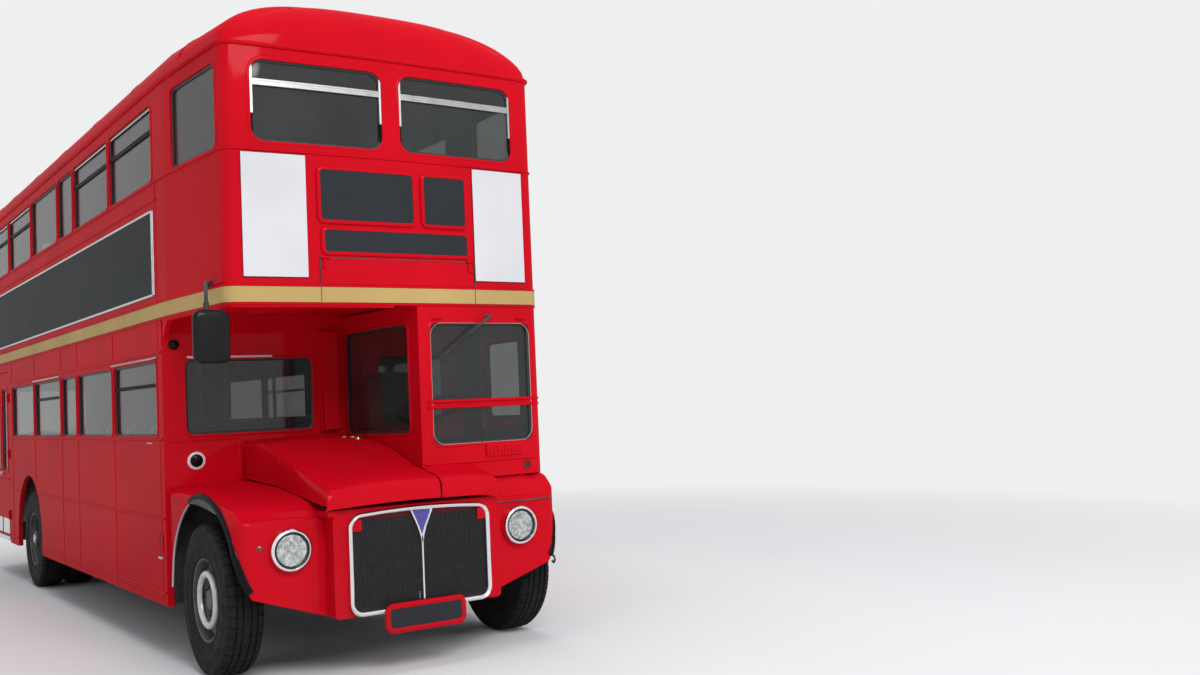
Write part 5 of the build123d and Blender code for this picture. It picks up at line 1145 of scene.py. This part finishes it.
edge.run([(x, FRONT_Y + 0.02, 2.412) for x in (-1.08, 0.14)], Z, -Y,
         [(-0.004, -0.02), (0.004, -0.02), (0.004, 0.02), (-0.004, 0.02)])
outline = [(0, 0)] + [(0.26 * (1 - math.sin(t)), 0.26 * (math.cos(t) - 1)) for t in spaced(0, math.pi / 2, 12)]
edge.extrude(outline, SIDE_AXES, (-1.178, BULKHEAD_Y, 2.4), (0, 0.036))
edge.make("canopy_edge", "clean_red", bevel=0.003)
soffit = Build()
for y in spaced(-4.05, -3.15, 4):
    soffit.run([(x, y, CEILING) for x in (-1.14, 0.13)], Y, -Z, strip)
soffit.box((-0.75, -3.62, 2.405), (-0.35, -3.42, 2.432))
soffit.make("canopy_ribs", "clean_red", bevel=0.003)

# Cab front: stamped step panel with slots, a round vent and two hinge barrels over the screen
step_panel, dark = Build(), Build()
step_panel.sweep([(on_wall(s, 1.374), Z, wall(s)[1]) for s in spaced(0.655, 0.955, 4)],
                 [(-0.048, -0.002), (-0.046, 0.01), (-0.036, 0.016), (0.036, 0.016), (0.046, 0.01), (0.048, -0.002)])
for k in range(9):
    place, along, normal = upright_frames(0.685 + k * 0.03, (1.374,))[0]
    step_panel.block(place + normal * 0.0175, (0.01, 0.008, 0.056), (along, normal, Z))
place, along, normal = upright_frames(1, (1.25,))[0]
step_panel.lathe(place, normal, [(-0.002, 0.028), (-0.002, 0.04), (0.005, 0.04), (0.01, 0.036), (0.009, 0.029)], 28)
dark.lathe(place, normal, [(-0.002, 0), (-0.002, 0.03), (0.004, 0.029), (0.004, 0)], 24)
for s in (0.3, 0.99):
    place, along, normal = upright_frames(s, (2.307,))[0]
    step_panel.tube([place + normal * 0.016 + along * w for w in (-0.035, 0.035)], 0.008)
step_panel.make("cab_front_step", "clean_red", bevel=0.002)
dark.make("cab_front_slots", "rubber", bevel=0.0008)

# Right-hand side: recess flap with painted shade for its recess, its step and a strip; and the tow hooks
flaps, bright, shade = Build(), Build(), Build()
flaps.sweep(wall_ring((-run_at(-2.915), -run_at(-2.835)), (0.735, 0.885), 0.008),
            [(-0.008, -0.001), (-0.007, 0.005), (0, 0.006), (0.004, 0.001)], True)
# Painted shade: a flat black sheet inside the flap's ring stands in for the shadow in the step recess.
shade.extrude([(-2.907, 0.743), (-2.843, 0.743), (-2.843, 0.877), (-2.907, 0.877)], (Y, Z, -X), (-HALF, 0, 0),
              (-0.001, 0.0012))
bright.box((-HALF - 0.016, -2.918, 0.706), (-HALF + 0.001, -2.832, 0.722))
bright.box((-HALF - 0.004, -2.68, 1.516), (-HALF + 0.001, -2.55, 1.524))
flaps.make("step_flap", "clean_red", bevel=0.001)
shade.make("step_recess_painted_shade", "chassis", bevel=0.0005)
bright.make("step_plate", "satin", bevel=0.002)
hook = Build()
hook.tube([(1.12, WING_Y + y, z) for y, z in
           ((0.03, 0.6), (-0.012, 0.585), (-0.02, 0.56), (-0.004, 0.54), (0.016, 0.552))], 0.008)
hook.tube([(0, -4.43, 0.56), (0, -4.47, 0.53), (0, -4.45, 0.5), (0, -4.41, 0.505)], 0.014)
hook.make("tow_hooks", "chassis")

# Roof: a dome rounded over all its edges, with seams and rivets laid on it
ROOF_Z, ROOF_TOP, VENT_TOP, ROOF_POWER, ROOF_END = 4.08, 4.48, 4.492, 2.45, 0.4
ROOF_RUNS = sorted({*RUN, *(run_at(y) for y in spaced(TAPER_Y, REAR_Y - REAR_R, 60)), *spaced(RUN[-14], RUN_END, 20)})
ROOF_RUNS = [-s for s in ROOF_RUNS[:0:-1]] + ROOF_RUNS[:-1]


def roof_ring(t, inset):
    """One level of the dome: t runs from 0 at its foot to a quarter turn at its ridge."""
    across, up = math.cos(t) ** (2 / ROOF_POWER), math.sin(t) ** (2 / ROOF_POWER)
    share = min(1, up / 0.85)
    ring = []
    for s in ROOF_RUNS:
        point, normal = wall(s)
        x, y = point.x - normal.x * inset, point.y - normal.y * inset
        front, back = FRONT_Y - BOW + inset + ROOF_END, REAR_Y - inset - ROOF_END
        a = abs(x) / (HALF - inset)
        b = (front - y) / ROOF_END if y < front else (y - back) / ROOF_END if y > back else 0
        round_off = max(a, b) / (a**4 + b**4) ** 0.25
        size = across * (1 + (round_off - 1) * eased(share))
        if y < front:
            y = front - ROOF_END * b * size
        elif y > back:
            y = back + ROOF_END * b * size
        ring.append(V(x * size, y, ROOF_Z + (ROOF_TOP - ROOF_Z - inset) * up))
    return ring


dome = Build()
levels = [math.pi / 2 * (k / 18) ** 0.9 for k in range(18)] + [math.radians(89.4)]
points = [p for inset in (0, 0.03) for t in levels for p in roof_ring(t, inset)]
count, half = len(ROOF_RUNS), len(ROOF_RUNS) // 2
under, last = len(levels) * count, (len(levels) - 1) * count
sheet = quads(len(levels), count, False)
sheet += [tuple(dict.fromkeys((last + half - k, last + half + k, last + (half + k + 1) % count, last + half - k - 1)))
          for k in range(half)]
sheet = [face for face in sheet if len(face) > 2]
faces = sheet + [tuple(under + i for i in face[::-1]) for face in sheet]
faces += [(k, under + k, under + (k + 1) % count, (k + 1) % count) for k in range(count)]
dome.add(points, faces)
dome.make("roof_dome", "roof", replaces="roof", smooth=50)
roof_tree = BVHTree.FromPolygons(points, faces)
seams, studs, vents = Build(), Build(), Build()


def roof_point(x, y):
    place, normal = roof_tree.ray_cast(V(x, y, 6), -Z)[:2]
    return place, normal if normal is None or normal.z > 0 else -normal


for y in (-3.45, -2.2, -0.9, 0.42, 1.74, 3.05, 3.95):
    line = [roof_point(1.19 * math.sin(t), y) for t in spaced(-math.pi / 2, math.pi / 2, 44)]
    line = [(p, n) for p, n in line if p is not None]
    seams.sweep([(p, Y, n) for p, n in line], [(-0.018, -0.002), (-0.014, 0.004), (0.014, 0.004), (0.018, -0.002)])
    for p, n in line[1:-1]:
        for way in (-0.03, 0.03):
            studs.dome(p + Y * way, n, 0.0045, 0.0022)
for x in (-0.62, 0.62):
    line = [roof_point(x, y) for y in spaced(-4.1, 4.4, 60)]
    seams.sweep([(p, X, n) for p, n in line], [(-0.016, -0.002), (-0.012, 0.0035), (0.012, 0.0035), (0.016, -0.002)])
for x, y in ((0, -3), (0, 0), (0, 2.9)):
    p, n = roof_point(x, y)
    vents.lathe(p - n * 0.004, n, [(0, 0), (0, 0.13), (0.01, 0.135), (0.018, 0.11), (0.021, 0)], 32)
seams.make("roof_seams", "roof", smooth=40)
studs.make("roof_studs", "roof")
vents.verts = [v - Z * max(0, v.z - VENT_TOP) for v in vents.verts]
vents.make("roof_vents", "roof", smooth=45)


# Seats: stuffed cushions and backs, pinched at their seams, on tube frames
def cushion(build, middle, axes, size, crown, stations=14, pinches=(0,)):
    """A stuffed pad: length along the first axis, its crowned face along the third."""
    along, across, out = axes
    length, width, depth = size
    section = []
    for a, b, p, q in rounded(-width / 2, width / 2, -depth / 2, depth / 2, min(width, depth) * 0.34, 5):
        lift = crown * (1 - (2 * a / width) ** 2) if b > 0 else 0
        section.append((a, b + lift - crown * 0.5))

    def dent(d):
        return 0.045 * math.exp(-(d / 0.035) ** 2)

    places = [(t, 1 - abs(t) ** 9 * 0.3 - sum(dent(t - pinch) for pinch in pinches))
              for t in (-math.cos(math.pi * k / stations) for k in range(stations + 1))]
    places += [(pinch + d, 1 - dent(d)) for pinch in pinches for d in (-0.08, -0.04, 0, 0.04, 0.08)]
    frames = [(Vector(middle) + along * t * length / 2, across * s, out * s) for t, s in sorted(set(places))]
    build.sweep(frames, section)


def double_seat(pads, tubes, side, y, floor_z):
    def bar(radius, *points):
        tubes.tube([(side * x, y + back, floor_z + rise) for x, back, rise in points], radius, 8)

    cushion(pads, (side * 0.68, y + 0.195, floor_z + 0.385), LEVEL_AXES, (0.875, 0.385, 0.11), 0.016)
    leaning = (X, V(0, 0.1, 1).normalized(), V(0, -1, 0.1).normalized())
    cushion(pads, (side * 0.68, y + 0.352, floor_z + 0.7), leaning, (0.87, 0.5, 0.085), 0.01)
    for x in (0.3, 1.06):
        bar(0.014, (x, 0.06, 0.004), (x, 0.09, 0.3), (x, 0.33, 0.315), (x, 0.345, 0.004))
        bar(0.012, (x, 0.33, 0.315), (x, 0.385, 0.6), (x, 0.408, 0.93))
    bar(0.0115, (0.26, 0.398, 0.82), (0.27, 0.404, 0.93), (0.34, 0.405, 0.948), (1.02, 0.405, 0.948),
        (1.09, 0.404, 0.93), (1.1, 0.398, 0.82))


lower_pads, upper_pads, lower_tubes, upper_tubes = Build(), Build(), Build(), Build()
for side in (-1, 1):
    for row in range(5):
        double_seat(lower_pads, lower_tubes, side, -2.615 + SEAT_PITCH * row, LOWER_FLOOR)
    cushion(lower_pads, (side * 0.925, 2.037, 1.237), (Y, X * side, Z), (1.1, 0.44, 0.106), 0.014, 18, (-0.33, 0.33))
    cushion(lower_pads, (side * 1.112, 2.037, 1.455), (Y, Z, X * -side), (1.09, 0.33, 0.08), 0.01, 18, (-0.33, 0.33))
    lower_tubes.tube([(side * 0.71, y, z) for y, z in ((1.475, 1.19), (1.47, 1.6), (1.485, 1.66))], 0.012, 8)
for side, rows in ((-1, 10), (1, 8)):
    for row in range(rows):
        double_seat(upper_pads, upper_tubes, side, -3.7 + SEAT_PITCH * row, UPPER_FLOOR)
for build, name, node in ((lower_pads, "lower_cushions", "lower_seats"),
                          (upper_pads, "upper_cushions", "upper_seats")):
    build.make(name, "cloth", replaces=node, smooth=70)
lower_tubes.make("lower_seat_frames", "alloy", smooth=50)
upper_tubes.make("upper_seat_frames", "alloy", smooth=50)

# Driver's place: hide cushions on a pedestal, wheel boss, dash and pedals' board
pads, metalwork = Build(), Build()
cushion(pads, (0.45, -3.375, 1.44), LEVEL_AXES, (0.435, 0.4, 0.115), 0.018, 10, (-0.45, 0.45))
leaning = (X, V(0, 0.08, 1).normalized(), V(0, -1, 0.08).normalized())
cushion(pads, (0.45, -3.192, 1.73), leaning, (0.43, 0.49, 0.09), 0.014, 10, (-0.45, 0.45))
pads.make("driver_cushions", "hide", replaces="driver_seat", smooth=70)
metalwork.lathe((0.45, -3.42, 1.13), Z, [(0, 0), (0, 0.11), (0.01, 0.112), (0.02, 0.06), (0.04, 0.045), (0.22, 0.042),
                                         (0.235, 0.09), (0.248, 0.095), (0.248, 0)], 32)
metalwork.box((0.26, -3.56, 1.372), (0.64, -3.19, 1.386))
metalwork.tube([(0.3, -3.2, 1.38), (0.3, -3.15, 1.6), (0.3, -3.142, 1.9), (0.6, -3.142, 1.9), (0.6, -3.15, 1.6),
                (0.6, -3.2, 1.38)], 0.01, 8)
metalwork.make("driver_pedestal", "chassis", bevel=0.002)
dash = Build()
dash.box((0.23, -4.19, 1.4), (0.62, -4.1, 1.47))
dash.box((0.7, -4.17, 1.4), (1.04, -4.08, 1.52))
for x in (0.76, 0.86, 0.96):
    dash.lathe((x, -4.078, 1.465), Y, [(0, 0), (0, 0.038), (0.008, 0.038), (0.01, 0.03), (0.006, 0.028),
                                       (0.006, 0)], 24)
for x in (0.33, 0.45, 0.57):
    dash.tube([(x, -4.02, 1.14), (x, -4.06, 1.24), (x, -4.1, 1.3)], 0.01, 8)
    dash.block((x, -4.015, 1.175), (0.075, 0.01, 0.1), (X, V(0, 0.8, 0.6), V(0, -0.6, 0.8)))
dash.make("driver_controls", "plastic", bevel=0.003)
boss = Build()
tilt = V(0, 0.368364, 0.929682)
boss.lathe((0.45, -3.788949, 1.67789), tilt, [(-0.012, 0), (-0.012, 0.052), (0.008, 0.052), (0.018, 0.04),
                                              (0.024, 0.02), (0.025, 0)], 28)
boss.make("wheel_boss", "plastic", "steering_wheel", smooth=50)

# Stair nosings and rail, floor slats, and lamps on the ceilings
nosings, slats, lamps, rails = Build(), Build(), Build(), Build()
for step in range(9):
    y, z = 4.365 - step * 0.19, PLATFORM_Z + (step + 1) * (UPPER_FLOOR - PLATFORM_Z) / 9
    nosings.run([(x, y, z) for x in (0.565, 1.145)], -Y, Z,
                [(-0.003, -0.03), (-0.003, 0.003), (0.045, 0.003), (0.045, 0), (0, 0), (0, -0.03)])
rails.tube([(0.572, 4.33, 0.7), (0.572, 4.33, 1.5), (0.572, 2.7, 3.28), (0.572, 2.7, 2.56)], 0.014)
for side in (-1, 1):
    rails.tube([(side * 0.24, y, 2.395) for y in (-2.8, -0.5, 1.5, 3.1)], 0.012, 8)
    for y in spaced(-2.75, 3.05, 6):
        rails.tube([(side * 0.24, y, 2.395), (side * 0.24, y, 2.43)], 0.008, 8)
slat = [(-0.016, 0), (-0.014, 0.005), (0.014, 0.005), (0.016, 0)]
for k in range(7):
    for z, ends in ((LOWER_FLOOR, (-2.93, 3.24)), (UPPER_FLOOR, (-4, 2.6))):
        slats.run([(k * 0.065 - 0.195, y, z) for y in ends], X, Z, slat)
for k in range(14):
    slats.run([(k * 0.125 - 1.14, y, PLATFORM_Z) for y in (3.27, 4.25)], X, Z, slat)
for side in (-1, 1):
    for y in spaced(-2.4, 3, 5):
        lamps.lathe((side * 0.62, y, CEILING), -Z, [(0, 0), (0, 0.05), (0.01, 0.05), (0.028, 0.034), (0.034, 0)], 20)
        under = roof_tree.ray_cast(V(side * 0.62, y, 4.1), Z)[0]
        lamps.lathe(under + Z * 0.004, -Z, [(0, 0), (0, 0.05), (0.012, 0.05), (0.03, 0.034), (0.036, 0)], 20)
nosings.make("stair_nosings", "alloy", bevel=0.001, steps=1)
rails.make("deck_rails", "cream", smooth=50)
slats.make("floor_slats", "floor")
lamps.make("ceiling_lamps", "pearl", smooth=50)

# Entrance leaves: rubbers, kick plates, handles and glazing strips, which swing with them
for name, y0, y1, meeting in (("front", 3.303, 3.771, 3.771), ("rear", 3.779, 4.247, 3.779)):
    body = f"entrance_door_{name}"
    trims, seals, plates, handles = Build(), Build(), Build(), Build()
    ring = flat_ring((-HALF, 0, 0), SIDE_AXES, (-y1 + 0.07, -y0 - 0.07), (1.18, 2.11), 0.055)
    seals.sweep(ring, seal, True)
    trims.sweep(ring, pan, True)
    way = 1 if meeting == y1 else -1
    seals.run([(-HALF + 0.017, meeting, z) for z in (0.46, 2.28)], Y * way, -X,
              [(-0.006, -0.014), (0.0005, -0.012), (0.0025, 0), (0.0005, 0.012), (-0.006, 0.014)])
    seals.run([(-HALF + 0.017, y, 0.45) for y in (y0 + 0.01, y1 - 0.01)], -Z, -X,
              [(-0.002, -0.014), (0.004, -0.008), (0.004, 0.008), (-0.002, 0.014)])
    trims.run([(-HALF, y, 1.085) for y in (y0 + 0.02, y1 - 0.02)], -X, Z, half_round)
    plates.extrude(rounded_outline(y0 + 0.035, y1 - 0.035, 0.475, 0.64, 0.012, 3), (Y, Z, -X), (-HALF, 0, 0),
                   (-0.001, 0.002))
    for y in (y0 + 0.05, y1 - 0.05):
        for z in (0.49, 0.625):
            plates.dome((-HALF - 0.002, y, z), -X, 0.005, 0.002)
    grip_y = meeting - way * 0.045
    handles.tube([(x, grip_y, z) for x, z in
                  ((-1.185, 1.22), (-1.15, 1.24), (-1.145, 1.3), (-1.145, 1.72), (-1.15, 1.78), (-1.185, 1.8))], 0.01)
    handles.tube([(-HALF - out, grip_y, z) for out, z in
                  ((0, 1.125), (0.014, 1.13), (0.014, 1.155), (0, 1.16))], 0.006, 8)
    seals.make(f"leaf_seals_{name}", "rubber", body, smooth=50)
    trims.make(f"leaf_trims_{name}", "clean_red", body, smooth=50)
    plates.make(f"leaf_plates_{name}", "alloy", body)
    handles.make(f"leaf_handles_{name}", "satin", body, smooth=50)
step_edge = Build()
step_edge.run([(-HALF, y, PLATFORM_Z) for y in (ENTRANCE + 0.01, ENTRANCE_END - 0.01)], X, Z,
              [(-0.006, -0.034), (-0.006, 0.004), (0.03, 0.004), (0.03, 0), (0, 0), (0, -0.034)])
step_edge.make("platform_edge", "alloy")

# Cab door: glazing strip, panel edges and handle; its track stays on the body
run_way = V(HALF - FRONT_HALF, TAPER_Y - FRONT_Y, 0).normalized()
DOOR_AXES = (run_way, Z, V(run_way.y, -run_way.x, 0))


def on_door(along, z, out=0):
    return V(HALF, TAPER_Y, z) + run_way * along + DOOR_AXES[2] * out


seals, trims, handle, track = Build(), Build(), Build(), Build()
seals.sweep(flat_ring(on_door(0, 0), DOOR_AXES, (-0.77, -0.19), (1.59, 2.18), 0.055, 0.034),
            [(a, b + 0.004) for a, b in seal], True)
trims.sweep(flat_ring(on_door(0, 0), DOOR_AXES, (-0.852, -0.108), (1.208, 2.262), 0.05, 0.033),
            [(-0.02, -0.001), (-0.018, 0.003), (-0.004, 0.003), (-0.001, -0.001)], True)
for z in (1.285, 1.545):
    trims.run([on_door(along, z, 0.033) for along in (-0.83, -0.13)], DOOR_AXES[2], Z, half_round)
handle.tube([on_door(-0.14, z, out) for z, out in
             ((1.4, 0.034), (1.405, 0.056), (1.5, 0.056), (1.505, 0.034))], 0.008)
handle.lathe(on_door(-0.14, 1.36, 0.034), DOOR_AXES[2],
             [(-0.002, 0), (-0.002, 0.02), (0.004, 0.019), (0.006, 0.01), (0.012, 0.009), (0.013, 0)], 20)
track.run([on_door(along, 2.288) for along in (-0.88, 0.54)], DOOR_AXES[2], Z,
          [(-0.03, -0.006), (0.02, -0.006), (0.038, -0.004), (0.04, 0.004), (0.03, 0.01), (-0.03, 0.022)])
seals.make("cab_door_seal", "rubber", "cab_door", smooth=50)
trims.make("cab_door_trims", "clean_red", "cab_door", smooth=50)
handle.make("cab_door_handle", "chrome", "cab_door", smooth=50)
track.make("cab_door_track", "clean_red")

# Back: lamps, blank plate and route panel, and the emergency window's handles and hinges
red_lamps, amber_lamps, rims_back, dark_back, bars = Build(), Build(), Build(), Build(), Build()
for side in (-1, 1):
    for z, build, radius in ((0.86, red_lamps, 0.046), (1, amber_lamps, 0.046), (0.72, red_lamps, 0.03)):
        place = (side * 0.88, REAR_Y, z)
        rims_back.lathe(place, Y, [(-0.002, radius), (-0.002, radius + 0.012), (0.008, radius + 0.011),
                                   (0.012, radius + 0.002), (0.01, radius - 0.002)], 28)
        build.lathe(place, Y, [(0, 0), (0, radius), (0.01, radius), (0.018, radius * 0.7), (0.021, 0)], 28)
    bars.tube([(side * 0.5, REAR_Y + out, z) for out, z in
               ((0.004, 3.47), (0.03, 3.48), (0.03, 3.6), (0.004, 3.61))], 0.008)
    rims_back.tube([(side * 0.4 + w, REAR_Y + 0.012, 3.985) for w in (-0.05, 0.05)], 0.01)
for outline, depth in ((rounded_outline(0.1, 0.62, 0.62, 0.73, 0.012, 3), 0.005),
                       (rounded_outline(-0.48, 0.48, 2.7, 2.98, 0.035, 5), 0.006)):
    dark_back.extrude(outline, (X, Z, Y), (0, REAR_Y, 0), (-0.001, depth))
thin = oblong(-0.003, 0.001, -0.002, 0.0012)
for build, u, levels, radius, profile in (
        (rims_back, (-0.634, -0.086), (0.606, 0.744), 0.02,
         [(-0.012, -0.002), (-0.011, 0.006), (0, 0.007), (0.003, -0.002)]),
        (rims_back, (-0.49, 0.49), (2.69, 2.99), 0.04,
         [(-0.012, -0.002), (-0.011, 0.009), (0.002, 0.01), (0.008, -0.001)]),
        (dark_back, (-0.66, 0.66), (3.372, 4.006), 0.07, thin), (dark_back, (0.3, 0.86), (0.82, 1.4), 0.07, thin)):
    build.sweep(flat_ring((0, REAR_Y, 0), BACK_AXES, u, levels, radius), profile, True)
dark_back.make("back_panels", "display", smooth=50)
rims_back.make("back_rims", "clean_red", smooth=50)
red_lamps.make("back_red_lamps", "red_lens", smooth=50)
amber_lamps.make("back_amber_lamps", "amber", smooth=50)
bars.make("emergency_handles", "chrome", smooth=50)

# Left-hand side: fuel filler, locker lids and vents
covers, gaps_left, caps = Build(), Build(), Build()
for y0, y1 in ((-1.45, -0.65), (0.55, 1.15)):
    gaps_left.sweep(wall_ring((run_at(y0), run_at(y1)), (0.52, 0.94), 0.02),
                    oblong(-0.002, 0.002, -0.001, 0.0012), True)
    for y in (y0 + 0.12, y1 - 0.12):
        covers.tube([(HALF + 0.004, y + w, 0.945) for w in (-0.035, 0.035)], 0.007, 8)
        caps.lathe((HALF, y, 0.56), X, [(-0.001, 0), (-0.001, 0.016), (0.004, 0.015), (0.006, 0)], 16)
covers.lathe((HALF, -1.72, 0.8), X, [(-0.001, 0), (-0.001, 0.095), (0.004, 0.093), (0.008, 0.08), (0.009, 0)], 40)
caps.lathe((HALF, -1.72, 0.8), X, [(0.006, 0), (0.006, 0.03), (0.016, 0.028), (0.018, 0)], 24)
caps.block((HALF + 0.019, -1.72, 0.8), (0.05, 0.006, 0.01), (Y, X, Z))
for k in range(8):
    covers.run([(HALF, y, 0.6 + k * 0.042) for y in (-2.62, -2.3)], X, Z,
               [(-0.001, -0.012), (0.008, -0.008), (0.009, -0.005), (-0.001, 0.012)])
gaps_left.make("locker_joints", "chassis")
covers.make("left_covers", "clean_red", smooth=50)
caps.make("filler_cap", "satin", bevel=0.001, smooth=50)

# Underneath: leaf springs with their shackles and clamps, and the exhaust
springs, pipe = Build(), Build()
for side in (-1, 1):
    x = side * 0.43
    for axle_y in (FRONT_AXLE, REAR_AXLE):
        for leaf in range(7):
            half = 0.66 - leaf * 0.085
            springs.run([(x, axle_y + half * t, 0.438 - leaf * 0.0085 + 0.085 * (half * t / 0.66) ** 2)
                         for t in spaced(-1, 1, 10)], X, Z, oblong(-0.034, 0.034, -0.0035, 0.0035))
        for way in (-1, 1):
            eye_y, clamp_y = axle_y + way * 0.66, axle_y + way * 0.07
            springs.tube([(x + w, eye_y, 0.528) for w in (-0.045, 0.045)], 0.018)
            springs.block((x, eye_y, 0.548), (0.03, 0.05, 0.04))
            for w in (0.045, -0.045):
                springs.tube([(x + w, clamp_y, z) for z in (0.375, 0.56)], 0.009, 8)
        springs.block((x, axle_y, 0.374), (0.12, 0.19, 0.014))
pipe.tube([(-0.25, -3.25, 0.6), (-0.25, -3.05, 0.5), (-0.25, -2.6, 0.44), (-0.25, -1.2, 0.44)], 0.03, 14)
pipe.lathe((-0.25, -1.25, 0.44), Y, [(0, 0), (0, 0.03), (0.03, 0.085), (0.06, 0.095), (0.84, 0.095), (0.87, 0.085),
                                     (0.9, 0.03), (0.9, 0)], 28)
pipe.tube([(-0.25, -0.38, 0.44), (-0.25, 0.6, 0.43), (-0.25, 1.25, 0.4), (-0.25, 1.4, 0.36)], 0.026, 14)
springs.make("leaf_springs", "chassis", bevel=0.001, steps=1)
pipe.make("exhaust", "iron", smooth=50)

# Floor, lights and camera
PAPER = (0.86, 0.865, 0.87)
mesh = bpy.data.meshes.new("studio_floor")
mesh.from_pydata([(30 * math.cos(t), 30 * math.sin(t), 0) for t in turns(48)], [], [tuple(range(48))])
floor = new_object("studio_floor", mesh)
n = Nodes("studio_paper")
far = n.add("ShaderNodeVectorMath", {0: n.coords}, operation="LENGTH")
share = n.ramp(n.math("MULTIPLY", far.outputs["Value"], 1 / 30), ((0.12, 0), (0.42, 1)))
tone = shades(n, (0.8, 0.805, 0.81), 0.015, n.noise(0.6, 4))
n.done(n.mix(share, tone, (0, 0, 0)), n.ramp(n.noise(8, 4), ((0.3, 0.7), (0.7, 0.85))),
       Specular_IOR_Level=0, Emission_Color=(*PAPER, 1), Emission_Strength=share)
mesh.materials.append(n.mat)

world = bpy.data.worlds.new("studio")
bpy.context.scene.world = world
world.use_nodes = True
tree = world.node_tree
tree.nodes.clear()
out = tree.nodes.new("ShaderNodeOutputWorld")
seen, lit = (tree.nodes.new("ShaderNodeBackground") for _ in range(2))
seen.inputs["Color"].default_value = (*PAPER, 1)
lit.inputs["Color"].default_value = (0.8, 0.84, 0.9, 1)
lit.inputs["Strength"].default_value = 0.5
path = tree.nodes.new("ShaderNodeLightPath")
either = tree.nodes.new("ShaderNodeMixShader")
shown = path.outputs["Is Camera Ray"]
for ray in ("Is Glossy Ray", "Is Transmission Ray"):
    either_ray = tree.nodes.new("ShaderNodeMath")
    either_ray.operation = "MAXIMUM"
    tree.links.new(shown, either_ray.inputs[0])
    tree.links.new(path.outputs[ray], either_ray.inputs[1])
    shown = either_ray.outputs[0]
for source, target in ((shown, either.inputs[0]), (lit.outputs[0], either.inputs[1]),
                       (seen.outputs[0], either.inputs[2]), (either.outputs[0], out.inputs["Surface"])):
    tree.links.new(source, target)


def lamp(name, place, aim, size, power, mirrored=True):
    light = bpy.data.lights.new(name, "AREA")
    light.shape, light.size, light.size_y = "RECTANGLE", *size
    light.energy = power
    obj = new_object(name, light)
    obj.visible_glossy = mirrored
    obj.location = place
    obj.rotation_euler = (Vector(aim) - Vector(place)).to_track_quat("-Z", "Y").to_euler()


lamp("key", (-1.5, -15, 9.5), (0, -2, 2), (7, 5), 980)
lamp("side", (-13, 0, 7), (0, 0, 1.5), (12, 5), 80)
lamp("front_fill", (7, -12, 5), (0, -3, 2), (6, 5), 180, False)
lamp("top", (0, 0, 13), (0, 0, 0), (9, 14), 820, False)

yaw, pitch, roll = (math.radians(a) for a in (35.11, 2.913, -2.517))
ahead = V(math.sin(yaw) * math.cos(pitch), math.cos(yaw) * math.cos(pitch), math.sin(pitch))
right = V(math.cos(yaw), -math.sin(yaw), 0)
up = right.cross(ahead)
right, up = right * math.cos(roll) + up * math.sin(roll), up * math.cos(roll) - right * math.sin(roll)
lens = bpy.data.cameras.new("camera")
lens.sensor_fit, lens.sensor_width, lens.lens = "HORIZONTAL", 36, 36 * 1208.775 / 1200
lens.clip_end = 200
camera = new_object("camera", lens)
camera.matrix_world = Matrix((right, up, -ahead)).transposed().to_4x4()
camera.location = (-3.589, -11.746, 1.698)
bpy.context.scene.camera = camera
bpy.context.scene.view_settings.view_transform = "Standard"
